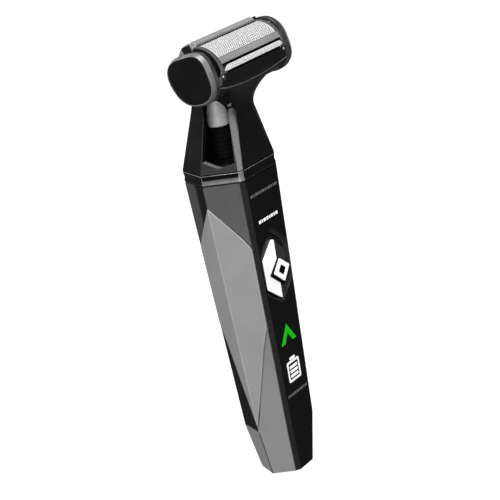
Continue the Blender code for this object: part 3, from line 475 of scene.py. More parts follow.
def fit(piece, finish, body, slot, *nodes):
    """Finish a piece, hang it on its body and hide the CAD nodes it stands for."""
    paint(piece, *(finish if isinstance(finish, tuple) else (finish,)))
    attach(piece, body)
    if nodes:
        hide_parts(*nodes)
    return piece


# ---- handle sections

def blend(low, high, share):
    return tuple(a + (b - a) * share for a, b in zip(low, high))


def handle_size(z):
    low, high = (BASE, KINK) if z < KINK[0] else (KINK, TOP)
    return blend(low, high, (z - low[0]) / (high[0] - low[0]))[1:]


def facet_x(size, y):
    keel, face, depth = size
    return face + (keel - face) * (depth - abs(y)) / depth


def facet_slope(size):
    keel, face, depth = size
    return math.hypot(depth, keel - face) / depth


def hexagon(size, z, trim=0.0, inset=0.0):
    depth = size[2] - trim - inset
    side = inset * facet_slope(size)
    keel = size[0] - side
    face = facet_x(size, depth) - side
    return [(-face, -depth, z), (face, -depth, z), (keel, 0.0, z),
            (face, depth, z), (-face, depth, z), (-keel, 0.0, z)]


def bevelled(size, z, trim=0.0, inset=0.0):
    """The six-sided section with its four face corners bevelled like the panels."""
    right = []
    for x, y, _ in hexagon(size, z, trim, inset)[1:4:2]:
        away = math.copysign(1.0, y)
        keel = size[0] - inset * facet_slope(size)
        shift = (keel - x) * PANEL_THICK / abs(y)
        pair = [(x - PANEL_BEVEL, y), (x + shift, y - away * PANEL_THICK)]
        right += pair if away < 0 else [(keel, 0.0)] + pair[::-1]
    return [(x, y, z) for x, y in right] + [(-x, y, z) for x, y in reversed(right)]


def shell_loop(z, inset=0.0):
    return hexagon(handle_size(z), z, PANEL_THICK + GAP, inset)


def handle_heights():
    """Section heights, with a short step across the kink so that it turns softly."""
    return [0.0, KINK[0] - KINK_SOFT, KINK[0] + KINK_SOFT, TOP[0] - GROOVE]


def panel_loop(z, side):
    size = handle_size(z)
    face, depth = size[1] - PANEL_BEVEL, size[2]
    back = depth - PANEL_THICK
    wide = facet_x(size, back)
    return [(-face, side * depth, z), (face, side * depth, z),
            (wide, side * back, z), (-wide, side * back, z)]


def front_y(z):
    return -handle_size(z)[2]


# ---- handle

def button_outline(grow=0.0, corner=1.6):
    top, bottom = BUTTON_Z + BUTTON_HALF_HIGH, BUTTON_Z - BUTTON_HALF_HIGH
    shoulder, hip = BUTTON_Z + BUTTON_SHOULDER, BUTTON_Z - BUTTON_SHOULDER
    wide = BUTTON_HALF_WIDE
    points = [(0.0, top), (wide, shoulder), (wide, hip), (0.0, bottom), (-wide, hip), (-wide, shoulder)]
    return rounded(swell(points, grow), corner, 5)


def chevron_outline(grow=0.0):
    foot = CHEVRON_Z - CHEVRON_HIGH
    inner = CHEVRON_HALF * (1 - CHEVRON_BAR / CHEVRON_HIGH)
    points = [(0.0, CHEVRON_Z), (CHEVRON_HALF, foot), (inner, foot),
              (0.0, CHEVRON_Z - CHEVRON_BAR), (-inner, foot), (-CHEVRON_HALF, foot)]
    return swell(points, grow)


def grip_front():
    """Front half of a grip as (share of the half-depth, height)."""
    corners = [(0.0, 120.7), (0.86, 103.4), (1.0, 96.6), (1.0, 71.8), (0.72, 61.0), (0.40, 43.0), (0.0, 23.6)]
    scaled = [(s * 14.0, z) for s, z in corners]
    smooth = rounded(scaled, [0, 5.0, 5.0, 6.0, 5.0, 6.0, 0], 5)
    return [(s / 14.0, z) for s, z in smooth]


def grip(name, side, deep, proud, grow=0.0):
    front = [(min(1.0, s + (grow * 0.08 if s else 0.0)), z + grow * (1.5 if z > 84 else -1.5))
             for s, z in grip_front()]
    whole = [(-s, z) for s, z in front] + [(s, z) for s, z in front[-2:0:-1]]
    outer, inner = [], []
    for share, z in whole:
        size = handle_size(z)
        edge = size[2] - PANEL_THICK - GAP + (3.0 if grow else 0.0)
        y = max(-edge, min(edge, share * (size[2] + (4.0 if grow and abs(share) >= 1 else 0.0))))
        slope = facet_slope(size)
        lean = (size[0] - size[1]) / size[2]
        if abs(share) < 1e-6:
            nx, ny, x = slope, 0.0, size[0]
        else:
            nx, ny, x = 1 / slope, math.copysign(lean / slope, y), facet_x(size, y)
        outer.append((side * (x + proud * nx), y + proud * ny, z))
        inner.append((side * (x - deep * nx), y - deep * ny, z))
    count, half = len(outer), len(front) - 1
    faces = [(i, (i + 1) % count, count + (i + 1) % count, count + i) for i in range(count)]
    for start in (0, count):
        faces.append(tuple(start + i for i in range(half + 1)))
        faces.append(tuple(start + i for i in list(range(half, count)) + [0]))
    return build(name, outer + inner, faces)


def make_casing():
    zs = handle_heights()
    casing = sleeve("handle_casing", [shell_loop(z) for z in zs], [shell_loop(z, SHELL_WALL) for z in zs])
    deep = front_y(BUTTON_Z)
    cut(casing, prism("tool", button_outline(0.6), "Y", deep - 1, deep / 2))
    cut(casing, prism("tool", chevron_outline(GAP), "Y", deep - 1, deep / 2))
    for side, _ in SIDES:
        cut(casing, grip("tool", side, 0.9, 2.0, 0.3))
    clean(casing)
    soften(casing, 0.22, 3, 25)
    return fit(casing, GUNMETAL, "handle", "gunmetal", "handle_shell")


def make_front_panel():
    zs = handle_heights()
    panel = loft("front_face", [panel_loop(z, -1) for z in zs])
    face = front_y(BUTTON_Z)
    well = [[(x, y, z) for x, z in button_outline(grow, 1.6)]
            for y, grow in ((face - 1.2, 2.5), (face + 1.1, 0.5), (face + 4.0, 0.5))]
    cut(panel, loft("tool", well))
    cut(panel, prism("tool", chevron_outline(0.2), "Y", front_y(CHEVRON_Z) - 2, -5.0))
    clean(panel, 0.1)
    soften(panel, 0.16, 3, 20)
    fit(panel, (GLOSS, PANEL_EDGE), "handle", "gloss_black", "front_panel")
    # Bevel faces and the button well's walls take the lighter dark grey: painted reflection.
    pick(panel, 1, lambda at, facing: 0.25 < abs(facing.x) < 0.95 and at.y < front_y(at.z) + 1.3
         and abs(at.x) > handle_size(at.z)[1] - PANEL_BEVEL)
    pick(panel, 1, lambda at, facing: (abs(at.x) < 9.9 and 73.0 < at.z < 107.0 and abs(facing.y) < 0.9
                                       and at.y < face + 1.3))


def make_rear_panel():
    zs = handle_heights()
    panel = loft("rear_face", [panel_loop(z, 1) for z in zs])
    clean(panel, 0.1)
    soften(panel, 0.16, 3, 20)
    fit(panel, (GLOSS, PANEL_EDGE), "handle", "gloss_black", "rear_panel")
    # Bevel faces take the lighter dark grey: painted reflection.
    pick(panel, 1, lambda at, facing: 0.25 < abs(facing.x) < 0.95)


def make_grips():
    for side, word in SIDES:
        pad = grip(f"{word}_grip_pad", side, 0.6, 0.35)
        clean(pad, 0.05)
        # The grips' rounded edges take the lighter grey in slot 1: painted highlight.
        soften(pad, 0.26, 3, 40, slot=1)
        fit(pad, (GRIP, GRIP_EDGE_HIGHLIGHT), "handle", "grip_grey", f"{word}_grip")


def make_collar():
    low, high = TOP[0], TOP[0] + COLLAR_HIGH
    size = TOP[1:]
    steps = ((low, 0.0), (low + 0.3, 0.0), (low + 2.0, 0.3), (high - 0.3, 0.0), (high, 0.0))
    ring = sleeve("collar_band", [bevelled(size, z, 0.0, inset) for z, inset in steps],
                  [bevelled(size, z, 0.0, COLLAR_BORE) for z, _ in steps])
    lip = (low - 4.0, low + 1.0)
    join(ring, sleeve("tool", [bevelled(size, z, PANEL_THICK + GAP, SHELL_WALL + GAP) for z in lip],
                      [bevelled(size, z, 0.0, COLLAR_BORE) for z in lip]))
    clean(ring)
    # The collar's bevels take the light grey in slot 1: painted highlight lines.
    soften(ring, 0.14, 2, 35, slot=1)
    fit(ring, (GLOSS, EDGE_HIGHLIGHT, STRIP_REFLECTION, ARCH), "handle", "gloss_black", "collar_ring")
    # The collar's left front bevels carry the strip's painted reflection.
    pick(ring, 2, lambda at, facing: facing.y < -0.5 and 0.25 < -facing.x < 0.75 and at.z > TOP[0])
    # Side faces of the collar's groove that tilt upward take the lighter arch grey: painted light from above.
    pick(ring, 3, lambda at, facing: abs(facing.x) > 0.8 and facing.z > 0.05 and facing.y < 0)


def make_button():
    """Black bed with a raised roof-shaped key, bright on its left slope as a painted reflection and dark on
    its right slope as painted shade, and a diamond near the ridge.
    """
    face = front_y(BUTTON_Z)
    bed = prism("button_bed", button_outline(-GAP, 1.4), "Y", face + 0.9, face + 3.4)
    soften(bed, 0.15, 3, 30)
    fit(bed, SATIN, "button", "satin_black", "power_button")

    def slope(x, z):
        lean = KEY_LEANS[0] if x < 0 else KEY_LEANS[1]
        return face - KEY_PROUD + lean * abs(x) / KEY_REACH - KEY_TILT * (z - BUTTON_Z)

    left = [(0.5, 101.3), (-7.4, 94.8), (-7.5, 82.4), (0.5, 76.2)]
    right = [(0.5, 76.2), (7.5, 81.9), (7.7, 94.4), (0.5, 101.3)]
    # The left slope is silver with a painted glow, a painted reflection; the right slope is dark grey,
    # painted shade.
    for word, outline, finish in (("left", left, GLOWING_SILVER), ("right", right, KEY_SHADE)):
        rim = rounded(outline, 0.35, 3)
        key = loft(f"button_key_{word}", [[(x, slope(x, z), z) for x, z in rim],
                                          [(x, face + 1.1, z) for x, z in rim]])
        soften(key, 0.12, 2, 30)
        fit(key, finish, "button", "satin_black")
    centre = (1.9, 87.8)
    arms = ((-0.4, 5.6), (6.0, 0.3), (0.6, -5.6), (-6.0, 0.2))
    # The shadow layer is a painted shadow below and left of the block; the block glows as painted light.
    layers = (("shadow", 1.12, -0.5, 0.35, DEEP), ("block", 0.92, 0.0, 0.7, GLOWING_SILVER),
              ("window", 0.42, 0.0, 0.76, DEEP))
    for word, size, push, lift, finish in layers:
        points = [(centre[0] + push + x * size, centre[1] + push + z * size) for x, z in arms]
        piece = prism(f"diamond_{word}", rounded(points, 0.5, 3), "Y", face - KEY_PROUD - lift, face + 0.6)
        soften(piece, 0.1 if size > 0.5 else 0.03, 2, 30)
        fit(piece, finish, "button", "satin_black")


def make_light():
    low = front_y(CHEVRON_Z - CHEVRON_HIGH)
    lens = prism("green_chevron", chevron_outline(0.0), "Y", low - 0.12, low + 3.0)
    soften(lens, 0.25, 3, 25)
    fit(lens, GREEN, "handle", "signal_green", "light_guide")


def on_front(outline, lift):
    """An outline laid on the front panel's slope."""
    return [(x, front_y(h) + lift, h) for x, h in outline]


def rectangle(x, z):
    return [(x[0], z[0]), (x[1], z[0]), (x[1], z[1]), (x[0], z[1])]


def print_mark(name, outline, finish):
    """A thin printed shape that follows the front panel's slope."""
    mark = loft(name, [on_front(outline, lift) for lift in PRINT_LIFTS])
    return fit(mark, finish, "handle", "white_nylon")


def make_prints():
    """Battery sign and three rows of dashes, in place of any lettering."""
    low, high, half = 39.6, 48.6, 4.4
    outer = rounded(rectangle((-half, half), (low, high)), 1.1, 4)
    inner = rounded(rectangle((-half + 1.0, half - 1.0), (low + 1.0, high - 1.0)), 0.5, 4)
    ring = sleeve("battery_sign", [on_front(outer, lift) for lift in PRINT_LIFTS],
                  [on_front(inner, lift) for lift in PRINT_LIFTS])
    fit(ring, PRINT, "handle", "white_nylon")
    print_mark("battery_nub", rounded(rectangle((-1.9, 1.9), (high + 0.25, high + 1.5)), 0.4, 3), PRINT)
    for k in range(3):
        foot = low + 1.75 + k * 1.95
        bar = rounded(rectangle((-half + 1.7, half - 1.7), (foot, foot + 1.25)), 0.2, 2)
        print_mark(f"battery_bar_{k + 1}", bar, PRINT)
    for name, z, half_long, high, pattern, finish in (
            ("upper_dashes", 122.4, 9.2, 1.1, (2, 1, 2, 1, 1, 2, 1, 1, 2, 1, 1, 2), FAINT),
            ("middle_dashes", 110.9, 6.6, 1.3, (2, 1, 2, 2, 1, 2, 1, 2), PRINT),
            ("lower_dashes", 34.4, 7.0, 1.1, (1, 2, 1, 2, 2, 1, 2, 1, 2), FAINT)):
        dashes(name, z, half_long, high, pattern, finish)


def dashes(name, z, half_long, high, pattern, finish):
    """A printed row of short plain dashes; the pattern gives each dash's share of the length."""
    unit = 2 * half_long / (sum(pattern) + 0.6 * (len(pattern) - 1))
    row, x = None, -half_long
    for long in pattern:
        end = x + long * unit
        outline = rectangle((x, end), (z - high / 2, z + high / 2))
        dash = loft("dash", [on_front(outline, lift) for lift in (-0.03, 0.3)])
        row = join_meshes(row, dash) if row else dash
        x = end + 0.6 * unit
    row.name = name
    fit(row, finish, "handle", "white_nylon")


def join_meshes(first, second):
    bm = bmesh.new()
    bm.from_mesh(first.data)
    bm.from_mesh(second.data)
    bm.to_mesh(first.data)
    bm.free()
    bpy.data.objects.remove(second, do_unlink=True)
    return first


# ---- head

def polar(angle, radius):
    turn = math.radians(angle)
    return (BARREL_Y - radius * math.sin(turn), BARREL_Z + radius * math.cos(turn))


def arc(radius, start, end, steps):
    return [polar(start + (end - start) * i / steps, radius) for i in range(steps + 1)]


def on_barrel(outline, radius):
    """An outline of (x, angle) laid around the barrel."""
    return [(x, *polar(angle, radius)) for x, angle in outline]


def arc_slab(name, radii, angles, xs, steps=24):
    outline = arc(radii[1], angles[0], angles[1], steps) + arc(radii[0], angles[1], angles[0], steps)
    return prism(name, outline, "X", xs[0], xs[1])


def parting_angle(x):
    return FASCIA_MIDDLE + (FASCIA_END - FASCIA_MIDDLE) * (x / BARREL_HALF) ** 2


def stations(half, count=28):
    return [half * (2 * i / count - 1) for i in range(count + 1)]


def neck_foot():
    return TOP[0] + COLLAR_HIGH + GROOVE


def neck_corners(z, inset=0.0):
    foot = (TOP[1], TOP[2], -TOP[3], TOP[3], 0.0, PANEL_BEVEL)
    size = blend(foot, WAIST, (z - neck_foot()) / (WAIST_Z - neck_foot()))
    keel, face, front, back, middle, bevel = size
    right = []
    for y in (front, back):
        away = math.copysign(1.0, y - middle)
        reach = abs(y - middle)
        side = inset * math.hypot(reach, keel - face) / reach
        shift = (keel - face) * PANEL_THICK / reach
        pair = [(face - bevel - inset * 0.3, y - away * inset),
                (face + shift - side, y - away * (PANEL_THICK + inset * 0.4))]
        right += pair if away < 0 else [(keel - side, middle)] + pair[::-1]
    return [(x, y, z) for x, y in right] + [(-x, y, z) for x, y in reversed(right)]


NECK_STEPS = (3, 4, 4, 2, 8, 2, 4, 4, 3, 8)
NECK_LANDINGS = ((9.5, 131.0), (14.5, 139.0), (19.0, 214.0), (13.0, 280.0), (10.0, 284.0))


def ring_points(corners):
    points = []
    for i, count in enumerate(NECK_STEPS):
        a, b = Vector(corners[i]), Vector(corners[(i + 1) % len(corners)])
        points += [tuple(a + (b - a) * k / count) for k in range(count)]
    return points


def neck_landings(radius, pull, turn):
    right = []
    for x, angle in NECK_LANDINGS:
        centre = 180.0 if angle < 200 else 240.0
        y, z = polar(angle + (centre - angle) * turn, radius)
        right.append((x * pull, y, z))
    return right + [(-x, y, z) for x, y, z in reversed(right)]


def bezier(points, t):
    a, b, c, d = (Vector(p) for p in points)
    return tuple(a * (1 - t) ** 3 + b * 3 * t * (1 - t) ** 2 + c * 3 * t * t * (1 - t) + d * t ** 3)


def neck_loops(levels=18):
    foot = ring_points(neck_corners(neck_foot()))
    waist = ring_points(neck_corners(WAIST_Z))
    above = ring_points(neck_corners(WAIST_Z + 5.0))
    landing = ring_points(neck_landings(BARREL_RADIUS, 1.0, 0.0))
    approach = ring_points(neck_landings(BARREL_RADIUS + 0.4, 0.72, 0.3))
    inside = ring_points(neck_landings(BARREL_RADIUS - 1.2, 1.0, 0.0))
    loops = [foot, waist]
    for step in range(1, levels + 1):
        t = step / levels
        loops.append([bezier(line, t) for line in zip(waist, above, approach, landing)])
    return loops + [inside]


def make_housing():
    """Neck and barrel cradle in one moulding, with a window in each side."""
    housing = loft("neck_and_cradle", neck_loops())
    slices = []
    for x in stations(BARREL_HALF):
        rim = arc(BARREL_RADIUS, parting_angle(x), CRADLE_BACK, 40)
        slices.append([(x, y, z) for y, z in rim + [polar(CRADLE_BACK, 4.0), polar(parting_angle(x), 4.0)]])
    join(housing, loft("tool", slices))
    cut(housing, lathe("tool", [(BARREL_RADIUS - 1.5, -30), (BARREL_RADIUS - 1.5, 30)], "X",
                       (BARREL_Y, BARREL_Z), 96))
    cavity = [neck_corners(z, NECK_WALL) for z in (neck_foot() - 1.0, WAIST_Z, 163.7)]
    cut(housing, loft("tool", cavity))
    foot = neck_foot()
    window = [(-0.9, foot + 4.8), (-7.0, foot + 1.6), (-12.7, foot + 3.0), (-11.1, WAIST_Z + 4.6),
              (-9.4, WAIST_Z + 7.6), (-4.6, WAIST_Z + 8.2), (-2.6, WAIST_Z + 6.0)]
    cut(housing, prism("tool", rounded(window, [0.6, 1.5, 0.5, 1.0, 1.0, 1.0, 1.0], 4), "X", -30, 30))
    clean(housing, 0.05)
    # The housing's bevels take the light grey in slot 1: painted highlight lines.
    soften(housing, 0.14, 2, 38, slot=1)
    fit(housing, (NECK, EDGE_HIGHLIGHT, STRIP_REFLECTION), "head", "gloss_black", "head_housing")
    # Only the left front edge of the neck carries the strip's painted reflection.
    pick(housing, 2, lambda at, facing: (facing.y < -0.5 and 0.2 < -facing.x < 0.8
                                         and abs(facing.z) < 0.35 and foot < at.z < WAIST_Z + 6.5
                                         and 5.0 < abs(at.x) < 14.0))
    # The windows' upward-facing sills take the light grey: painted highlight.
    pick(housing, 1, lambda at, facing: facing.z > 0.6 and at.z < foot + 6.0 and abs(at.x) > 9.0
         and -12.8 < at.y < 0.0)


def make_strip_knob():
    """Small knob at the top of the slanted neck edge."""
    profile = [(0.9, -0.6), (0.9, 0.1), (0.75, 0.35), (0.4, 0.5), (0.1, 0.54)]
    knob = lathe("strip_knob", profile, "Z", (0.0, 0.0), 32)
    knob.data.transform(Matrix.Translation(Vector(KNOB) * MM)
                        @ Vector(KNOB_FACING).to_track_quat("Z", "Y").to_matrix().to_4x4())
    soften(knob, 0.05, 2, 50)
    fit(knob, RIM_LIT, "head", "boss_grey")


def make_drive_column():
    low, high = HOUSING_Z
    r, b = HOUSING_RADIUS, HOUSING_BORE
    profile = [(b, low + 0.2), (r - 0.9, low), (r - 0.35, low + 0.15), (r - 0.08, low + 0.55), (r, low + 1.1),
               (r, low + 4.6), (r - 0.28, low + 4.8), (r - 0.28, low + 5.2), (r, low + 5.4), (r, high),
               (b, high)]
    boss = lathe("drive_boss", profile, "Z", (0, DRIVE_Y), 72, ring=True)
    soften(boss, 0.08, 2, 50)
    fit(boss, BOSS, "head", "boss_grey", "shaft_housing")
    top = low - GAP
    steps = BOOT_WAVES * 8
    profile = [(HOUSING_BORE, BOOT_FOOT)]
    for i in range(steps + 1):
        share = i / steps
        ripple = BOOT_RIPPLE * (math.cos(share * BOOT_WAVES * 2 * math.pi) - 1)
        profile.append((BOOT_RADIUS + ripple, BOOT_FOOT + (top - BOOT_FOOT) * share))
    profile.append((HOUSING_BORE, top))
    boot = lathe("bellows_boot", profile, "Z", (0, DRIVE_Y), 64, ring=True)
    boot.data.shade_smooth()
    fit(boot, RUBBER, "head", "seal_rubber", "shaft_boot")


def foil_sheet(name, xs, angles, radius, pitch, hole, border, thick):
    """A sheet of holes in staggered rows, wrapped around the barrel; border is (ends, sides)."""
    low, high = xs[0] + border[0], xs[1] - border[0]
    columns = int((high - low) / pitch)
    pitch = (high - low) / columns
    arc_long = radius * math.radians(angles[1] - angles[0])
    span = arc_long - 2 * border[1]
    rows = max(1, round(span / (pitch * 0.82)))
    tall = span / rows
    points, index, faces = [], {}, []

    def vert(u, v):
        key = (round(u, 4), round(v, 4))
        if key not in index:
            index[key] = len(points)
            points.append((u, v))
        return index[key]

    def plain(a, b, v0, v1):
        faces.append(tuple(vert(*p) for p in ((a, v0), (b, v0), (b, v1), (a, v1))))

    for row in range(rows):
        v0, v1 = border[1] + row * tall, border[1] + (row + 1) * tall
        shift = row % 2
        for k in range(columns - shift):
            u0 = low + (k + shift * 0.5) * pitch
            u1, um, vm = u0 + pitch, u0 + pitch / 2, (v0 + v1) / 2
            outer = [vert(*p) for p in ((um, v0), (u1, v0), (u1, v1), (um, v1), (u0, v1), (u0, v0))]
            inner = [vert(um + hole * math.cos(math.radians(a)), vm + hole * math.sin(math.radians(a)))
                     for a in (-90, -30, 30, 90, 150, 210)]
            faces += [(outer[i], outer[(i + 1) % 6], inner[(i + 1) % 6], inner[i]) for i in range(6)]
        if shift:
            plain(low, low + pitch / 2, v0, v1)
            plain(high - pitch / 2, high, v0, v1)
        plain(xs[0], low, v0, v1)
        plain(high, xs[1], v0, v1)
    cuts = [xs[0]] + [low + i * pitch / 2 for i in range(2 * columns + 1)] + [xs[1]]
    for v0, v1 in ((0.0, border[1]), (arc_long - border[1], arc_long)):
        for first, second in zip(cuts, cuts[1:]):
            plain(first, second, v0, v1)
    sheet = build(name, [(u, *polar(angles[0] + math.degrees(v / radius), radius)) for u, v in points], faces)
    first = sheet.data.polygons[0]
    outwards = (first.center - Vector((0, BARREL_Y, BARREL_Z)) * MM).dot(first.normal) > 0
    body = sheet.modifiers.new("body", "SOLIDIFY")
    body.thickness = thick * MM
    body.offset = -1.0 if outwards else 1.0
    return even_normals(sheet)


def make_cassette():
    r = BARREL_RADIUS
    sheet = foil_sheet("main_foil_sheet", (-FOIL_HALF, FOIL_HALF), FOIL_ANGLES, r, FOIL_PITCH, FOIL_HOLE,
                       (0.9, 0.2), 0.15)
    fit(sheet, FOIL, "cassette", "foil_steel", "main_foil")
    # A black toothed sheet in the gap between guard and foil: its band is painted shade in that gap, its
    # teeth follow the serrated edge there.
    comb = [(-FOIL_HALF, -1.8), (FOIL_HALF, -1.8)]
    for k in range(COMB_TEETH):
        x = FOIL_HALF - 1.0 - k * COMB_PITCH
        comb += [(x + 0.45, 2.4), (x + 0.3, 4.6), (x - 0.3, 4.6), (x - 0.45, 2.4)]
    comb_shade = loft("foil_comb_shade", [on_barrel(comb, radius) for radius in (r - 0.3, r + 0.16)])
    fit(comb_shade, DEEP, "cassette", "frame_grey")
    band = arc_slab("smooth_band", (r - 0.5, r + 0.12), (55.8, 69.8), (-FOIL_HALF, 19.9), 10)
    soften(band, 0.12)
    fit(band, FRAME, "cassette", "rim_grey", "foil_band")
    low, high = TRIMMER_ANGLES
    trimmer = foil_sheet("trimmer_sheet", (-15.6, 17.8), TRIMMER_ANGLES, r + 0.05, 1.0, 0.2, (0.3, 0.22), 0.2)
    fit(trimmer, TRIMMER, "cassette", "foil_steel", "trimmer_foil")
    left = [(-15.7, low), (-15.7, high), (-18.15, high), (-19.2, 84.6), (-16.575, low)]
    right = [(17.9, low), (17.9, high), (18.665, high), (19.6, 83.0), (19.6, 81.0), (18.92, 75.6)]
    for word, outline in (("left", left), ("right", right)):
        outline = rounded(outline, 0.35, 3)
        tip = loft(f"trimmer_tip_{word}", [on_barrel(outline, radius) for radius in (r - 0.3, r + 0.1)])
        soften(tip, 0.06, 2)
        fit(tip, TRIMMER, "cassette", "foil_steel")
    inner, outer = r - 1.4, r - 0.4
    bars = arc_slab("cassette_bars", (inner, outer), (-1.0, 91.0), (-22.4, 22.4), 36)
    cut(bars, arc_slab("tool", (inner - 2, outer + 2), (5.0, 53.0), (-18.5, 18.5), 24))
    cut(bars, arc_slab("tool", (inner - 2, outer + 2), (77.0, 84.5), (-18.5, 18.5), 8))
    clean(bars, 0.1)
    soften(bars, 0.1, 2, 35)
    fit(bars, DEEP, "cassette", "frame_grey", "foil_frame")
    for side, word in SIDES:
        xs = sorted((side * 19.75, side * 21.35))
        arch = arc_slab(f"{word}_arch", (r - 1.6, r + 0.22), (-2.0, 86.0), xs, 36)
        shelf = sorted((side * 17.9, side * 21.9))
        join(arch, arc_slab("tool", (r - 1.2, r + 0.12), (85.0, 90.0), shelf, 3))
        clean(arch, 0.1)
        # The arches' bevels take the light grey: painted highlight lines.
        soften(arch, 0.18, 2, 35, slot=1)
        fit(arch, (ARCH, EDGE_HIGHLIGHT), "cassette", "frame_grey")


def make_fascia():
    r = BARREL_RADIUS
    pin_y, pin_z = polar(PIN_ANGLE, r)
    slices = []
    for x in stations(BARREL_HALF - 0.1):
        low = parting_angle(x) - 1.8
        top = FASCIA_TOP + 0.6
        slices.append([(x, y, z) for y, z in arc(r, top, low, 12) + arc(r - 1.4, low, top, 12)])
    fascia = loft("fascia_plate", slices)
    for side, _ in SIDES:
        cut(fascia, lathe("tool", [(1.15, pin_y - 3), (1.15, pin_y + 5)], "Y", (side * PIN_X, pin_z), 32))
    clean(fascia, 0.1)
    # The fascia's bevels take the light grey: painted highlight lines.
    soften(fascia, 0.16, 2, 35, slot=1)
    fit(fascia, (SATIN, EDGE_HIGHLIGHT), "head", "satin_black", "front_fascia")
    # The parting trim is a painted highlight line in light grey; the lower trim is a faint painted highlight
    # line in PANEL_EDGE's dark grey.
    for name, low, high, finish in (("parting_trim", 0.1, 3.0, EDGE_HIGHLIGHT), ("lower_trim", 8.2, 9.6, PANEL_EDGE)):
        trim = []
        for x in stations(BARREL_HALF - 0.2):
            start, end = parting_angle(x) + low, parting_angle(x) + high
            trim.append([(x, y, z) for y, z in arc(r + 0.12, end, start, 2) + arc(r - 0.4, start, end, 2)])
        line = loft(name, trim)
        soften(line, 0.05, 2, 35)
        fit(line, finish, "head", "satin_black")
    collar_profile = [(1.0, 1.0), (1.0, 0.0), (1.2, -0.14), (1.6, -0.05), (1.8, 0.5), (1.2, 1.0)]
    pin_profile = [(0.8, 1.6), (0.8, 0.1), (0.6, -0.12), (0.2, -0.24)]
    for side, word in SIDES:
        centre = (side * PIN_X, pin_z)
        collar = lathe(f"{word}_pin_collar", [(radius, pin_y + deep) for radius, deep in collar_profile], "Y",
                       centre, 40, ring=True)
        soften(collar, 0.05, 2, 40)
        fit(collar, PANEL_EDGE, "head", "satin_black")
        pin = lathe(f"{word}_pin", [(radius, pin_y + deep) for radius, deep in pin_profile], "Y", centre, 32)
        soften(pin, 0.05, 2, 50)
        fit(pin, STEEL, "head", "spring_steel", f"fascia_pin_{word}")
        xs = sorted((side * 21.9, side * 22.75))
        strip = arc_slab(f"{word}_fascia_edge", (r - 1.2, r + 0.15), (93.5, 112.5), xs, 12)
        soften(strip, 0.12, 2, 35)
        fit(strip, ARCH, "head", "frame_grey")


def make_guard():
    outer = [(-60.5, 10.75), (-50.0, 11.6), (-38.0, 12.25), (-26.0, 12.6), (-14.0, 12.7), (-6.5, 12.3),
             (-3.0, 11.6)]
    outline = [polar(a, r) for a, r in outer] + arc(BARREL_RADIUS - 1.4, -3.0, -60.5, 16)
    guard = prism("rear_guard_plate", outline, "X", -GUARD_HALF, GUARD_HALF)
    for side, _ in SIDES:
        ends = sorted((side * 19.6, side * 22.0))
        cut(guard, arc_slab("tool", (10.9, 14.0), (-16.0, 4.0), ends, 6))
    clean(guard, 0.1)
    soften(guard, 0.25, 3, 35)
    fit(guard, FRAME, "head", "frame_grey", "rear_guard")
    for side, word in SIDES:
        xs = sorted((side * 21.3, side * 22.7))
        lug = arc_slab(f"{word}_guard_lug", (BARREL_RADIUS - 1.4, 12.2), (-27.0, -9.0), xs, 6)
        soften(lug, 0.2, 3, 35)
        fit(lug, SATIN, "head", "satin_black")


def cap_outline(x, grow=0.0, crown=0.0, steps=96):
    points = []
    for i in range(steps):
        angle = 360.0 * i / steps
        away = (angle + 12.0 + 180.0) % 360.0 - 180.0
        radius = CAP_RADIUS + grow + crown * math.cos(math.radians(min(90.0, abs(away) * 1.3))) ** 2
        radius += sum(high * math.cos(math.radians(waves * (angle - crest)))
                      for waves, high, crest in CAP_LOBES)
        points.append((x, *polar(angle, radius)))
    return points


def make_end(word, side):
    """Faceted black cap in a bevelled grey rim; the right rim has a taller crown, as in the photo."""
    root = BARREL_HALF + GAP
    # distance along X, growth of the outline and share of the crown there
    profile = ((root, -0.3, 1.0), (root, 0.75, 1.0), (root + 0.25, 0.85, 1.0), (root + 1.1, 0.85, 1.0),
               (HEAD_HALF - 2.1, 0.8, 0.95), (HEAD_HALF - 0.4, 0.12, 0.5), (HEAD_HALF - 0.15, -0.12, 0.3),
               (HEAD_HALF - 0.2, -0.3, 0.1), (HEAD_HALF - 1.3, -0.35, 0.0))
    crown = RIGHT_CROWN if side > 0 else 0.0
    rim = loft(f"{word}_rim", [cap_outline(side * x, grow, crown * share) for x, grow, share in profile],
               ring=True)
    soften(rim, 0.06, 2, 50)
    fit(rim, (RIM, RIM_LIT), "head", "rim_grey", f"{word}_cap_rim")
    # The rim's front bevel takes the lighter grey: painted highlight.
    pick(rim, 1, lambda at, facing: abs(facing.x) > 0.2 and abs(at.x) > HEAD_HALF - 1.9)

    edge = [Vector(p) for p in cap_outline(0.0, CAP_INSET - 0.35)]
    height, count = HEAD_HALF - 0.42, len(edge)
    centre = Vector((0.0, *polar(150.0, 0.6)))
    spans = [(start, stop if stop > start else stop + count)
             for start, stop in zip(CAP_CREASES, CAP_CREASES[1:] + CAP_CREASES[:1])]
    for start, stop in spans:
        a, b = edge[start], edge[stop % count]
        along = b - a
        depth = abs(along.cross(centre - a).x) / along.length
        for i in range(start, stop):
            here = edge[i % count]
            share = abs((here - a).cross(along).x) / along.length / depth
            edge[i % count] = Vector((height - 0.4 * share, here.y, here.z))
    face = [(side * p.x, p.y, p.z) for p in edge]
    outer = cap_outline(side * (HEAD_HALF - 1.1), CAP_INSET)
    back = cap_outline(side * (HEAD_HALF - 3.0), CAP_INSET)
    points = back + outer + face + [(side * (HEAD_HALF - 0.08), centre.y, centre.z)]
    faces = [tuple(range(count - 1, -1, -1))]
    for a, b in ((0, count), (count, 2 * count)):
        faces += [(a + i, a + (i + 1) % count, b + (i + 1) % count, b + i) for i in range(count)]
    for start, stop in spans:
        faces.append(tuple([3 * count] + [2 * count + i % count for i in range(start, stop + 1)]))
    cap = build(f"{word}_cap", points, faces)
    soften(cap, 0.1, 2, 1.6)
    fit(cap, NECK, "head", "satin_black", f"{word}_end_cap")


# ---- pieces kept from the frame

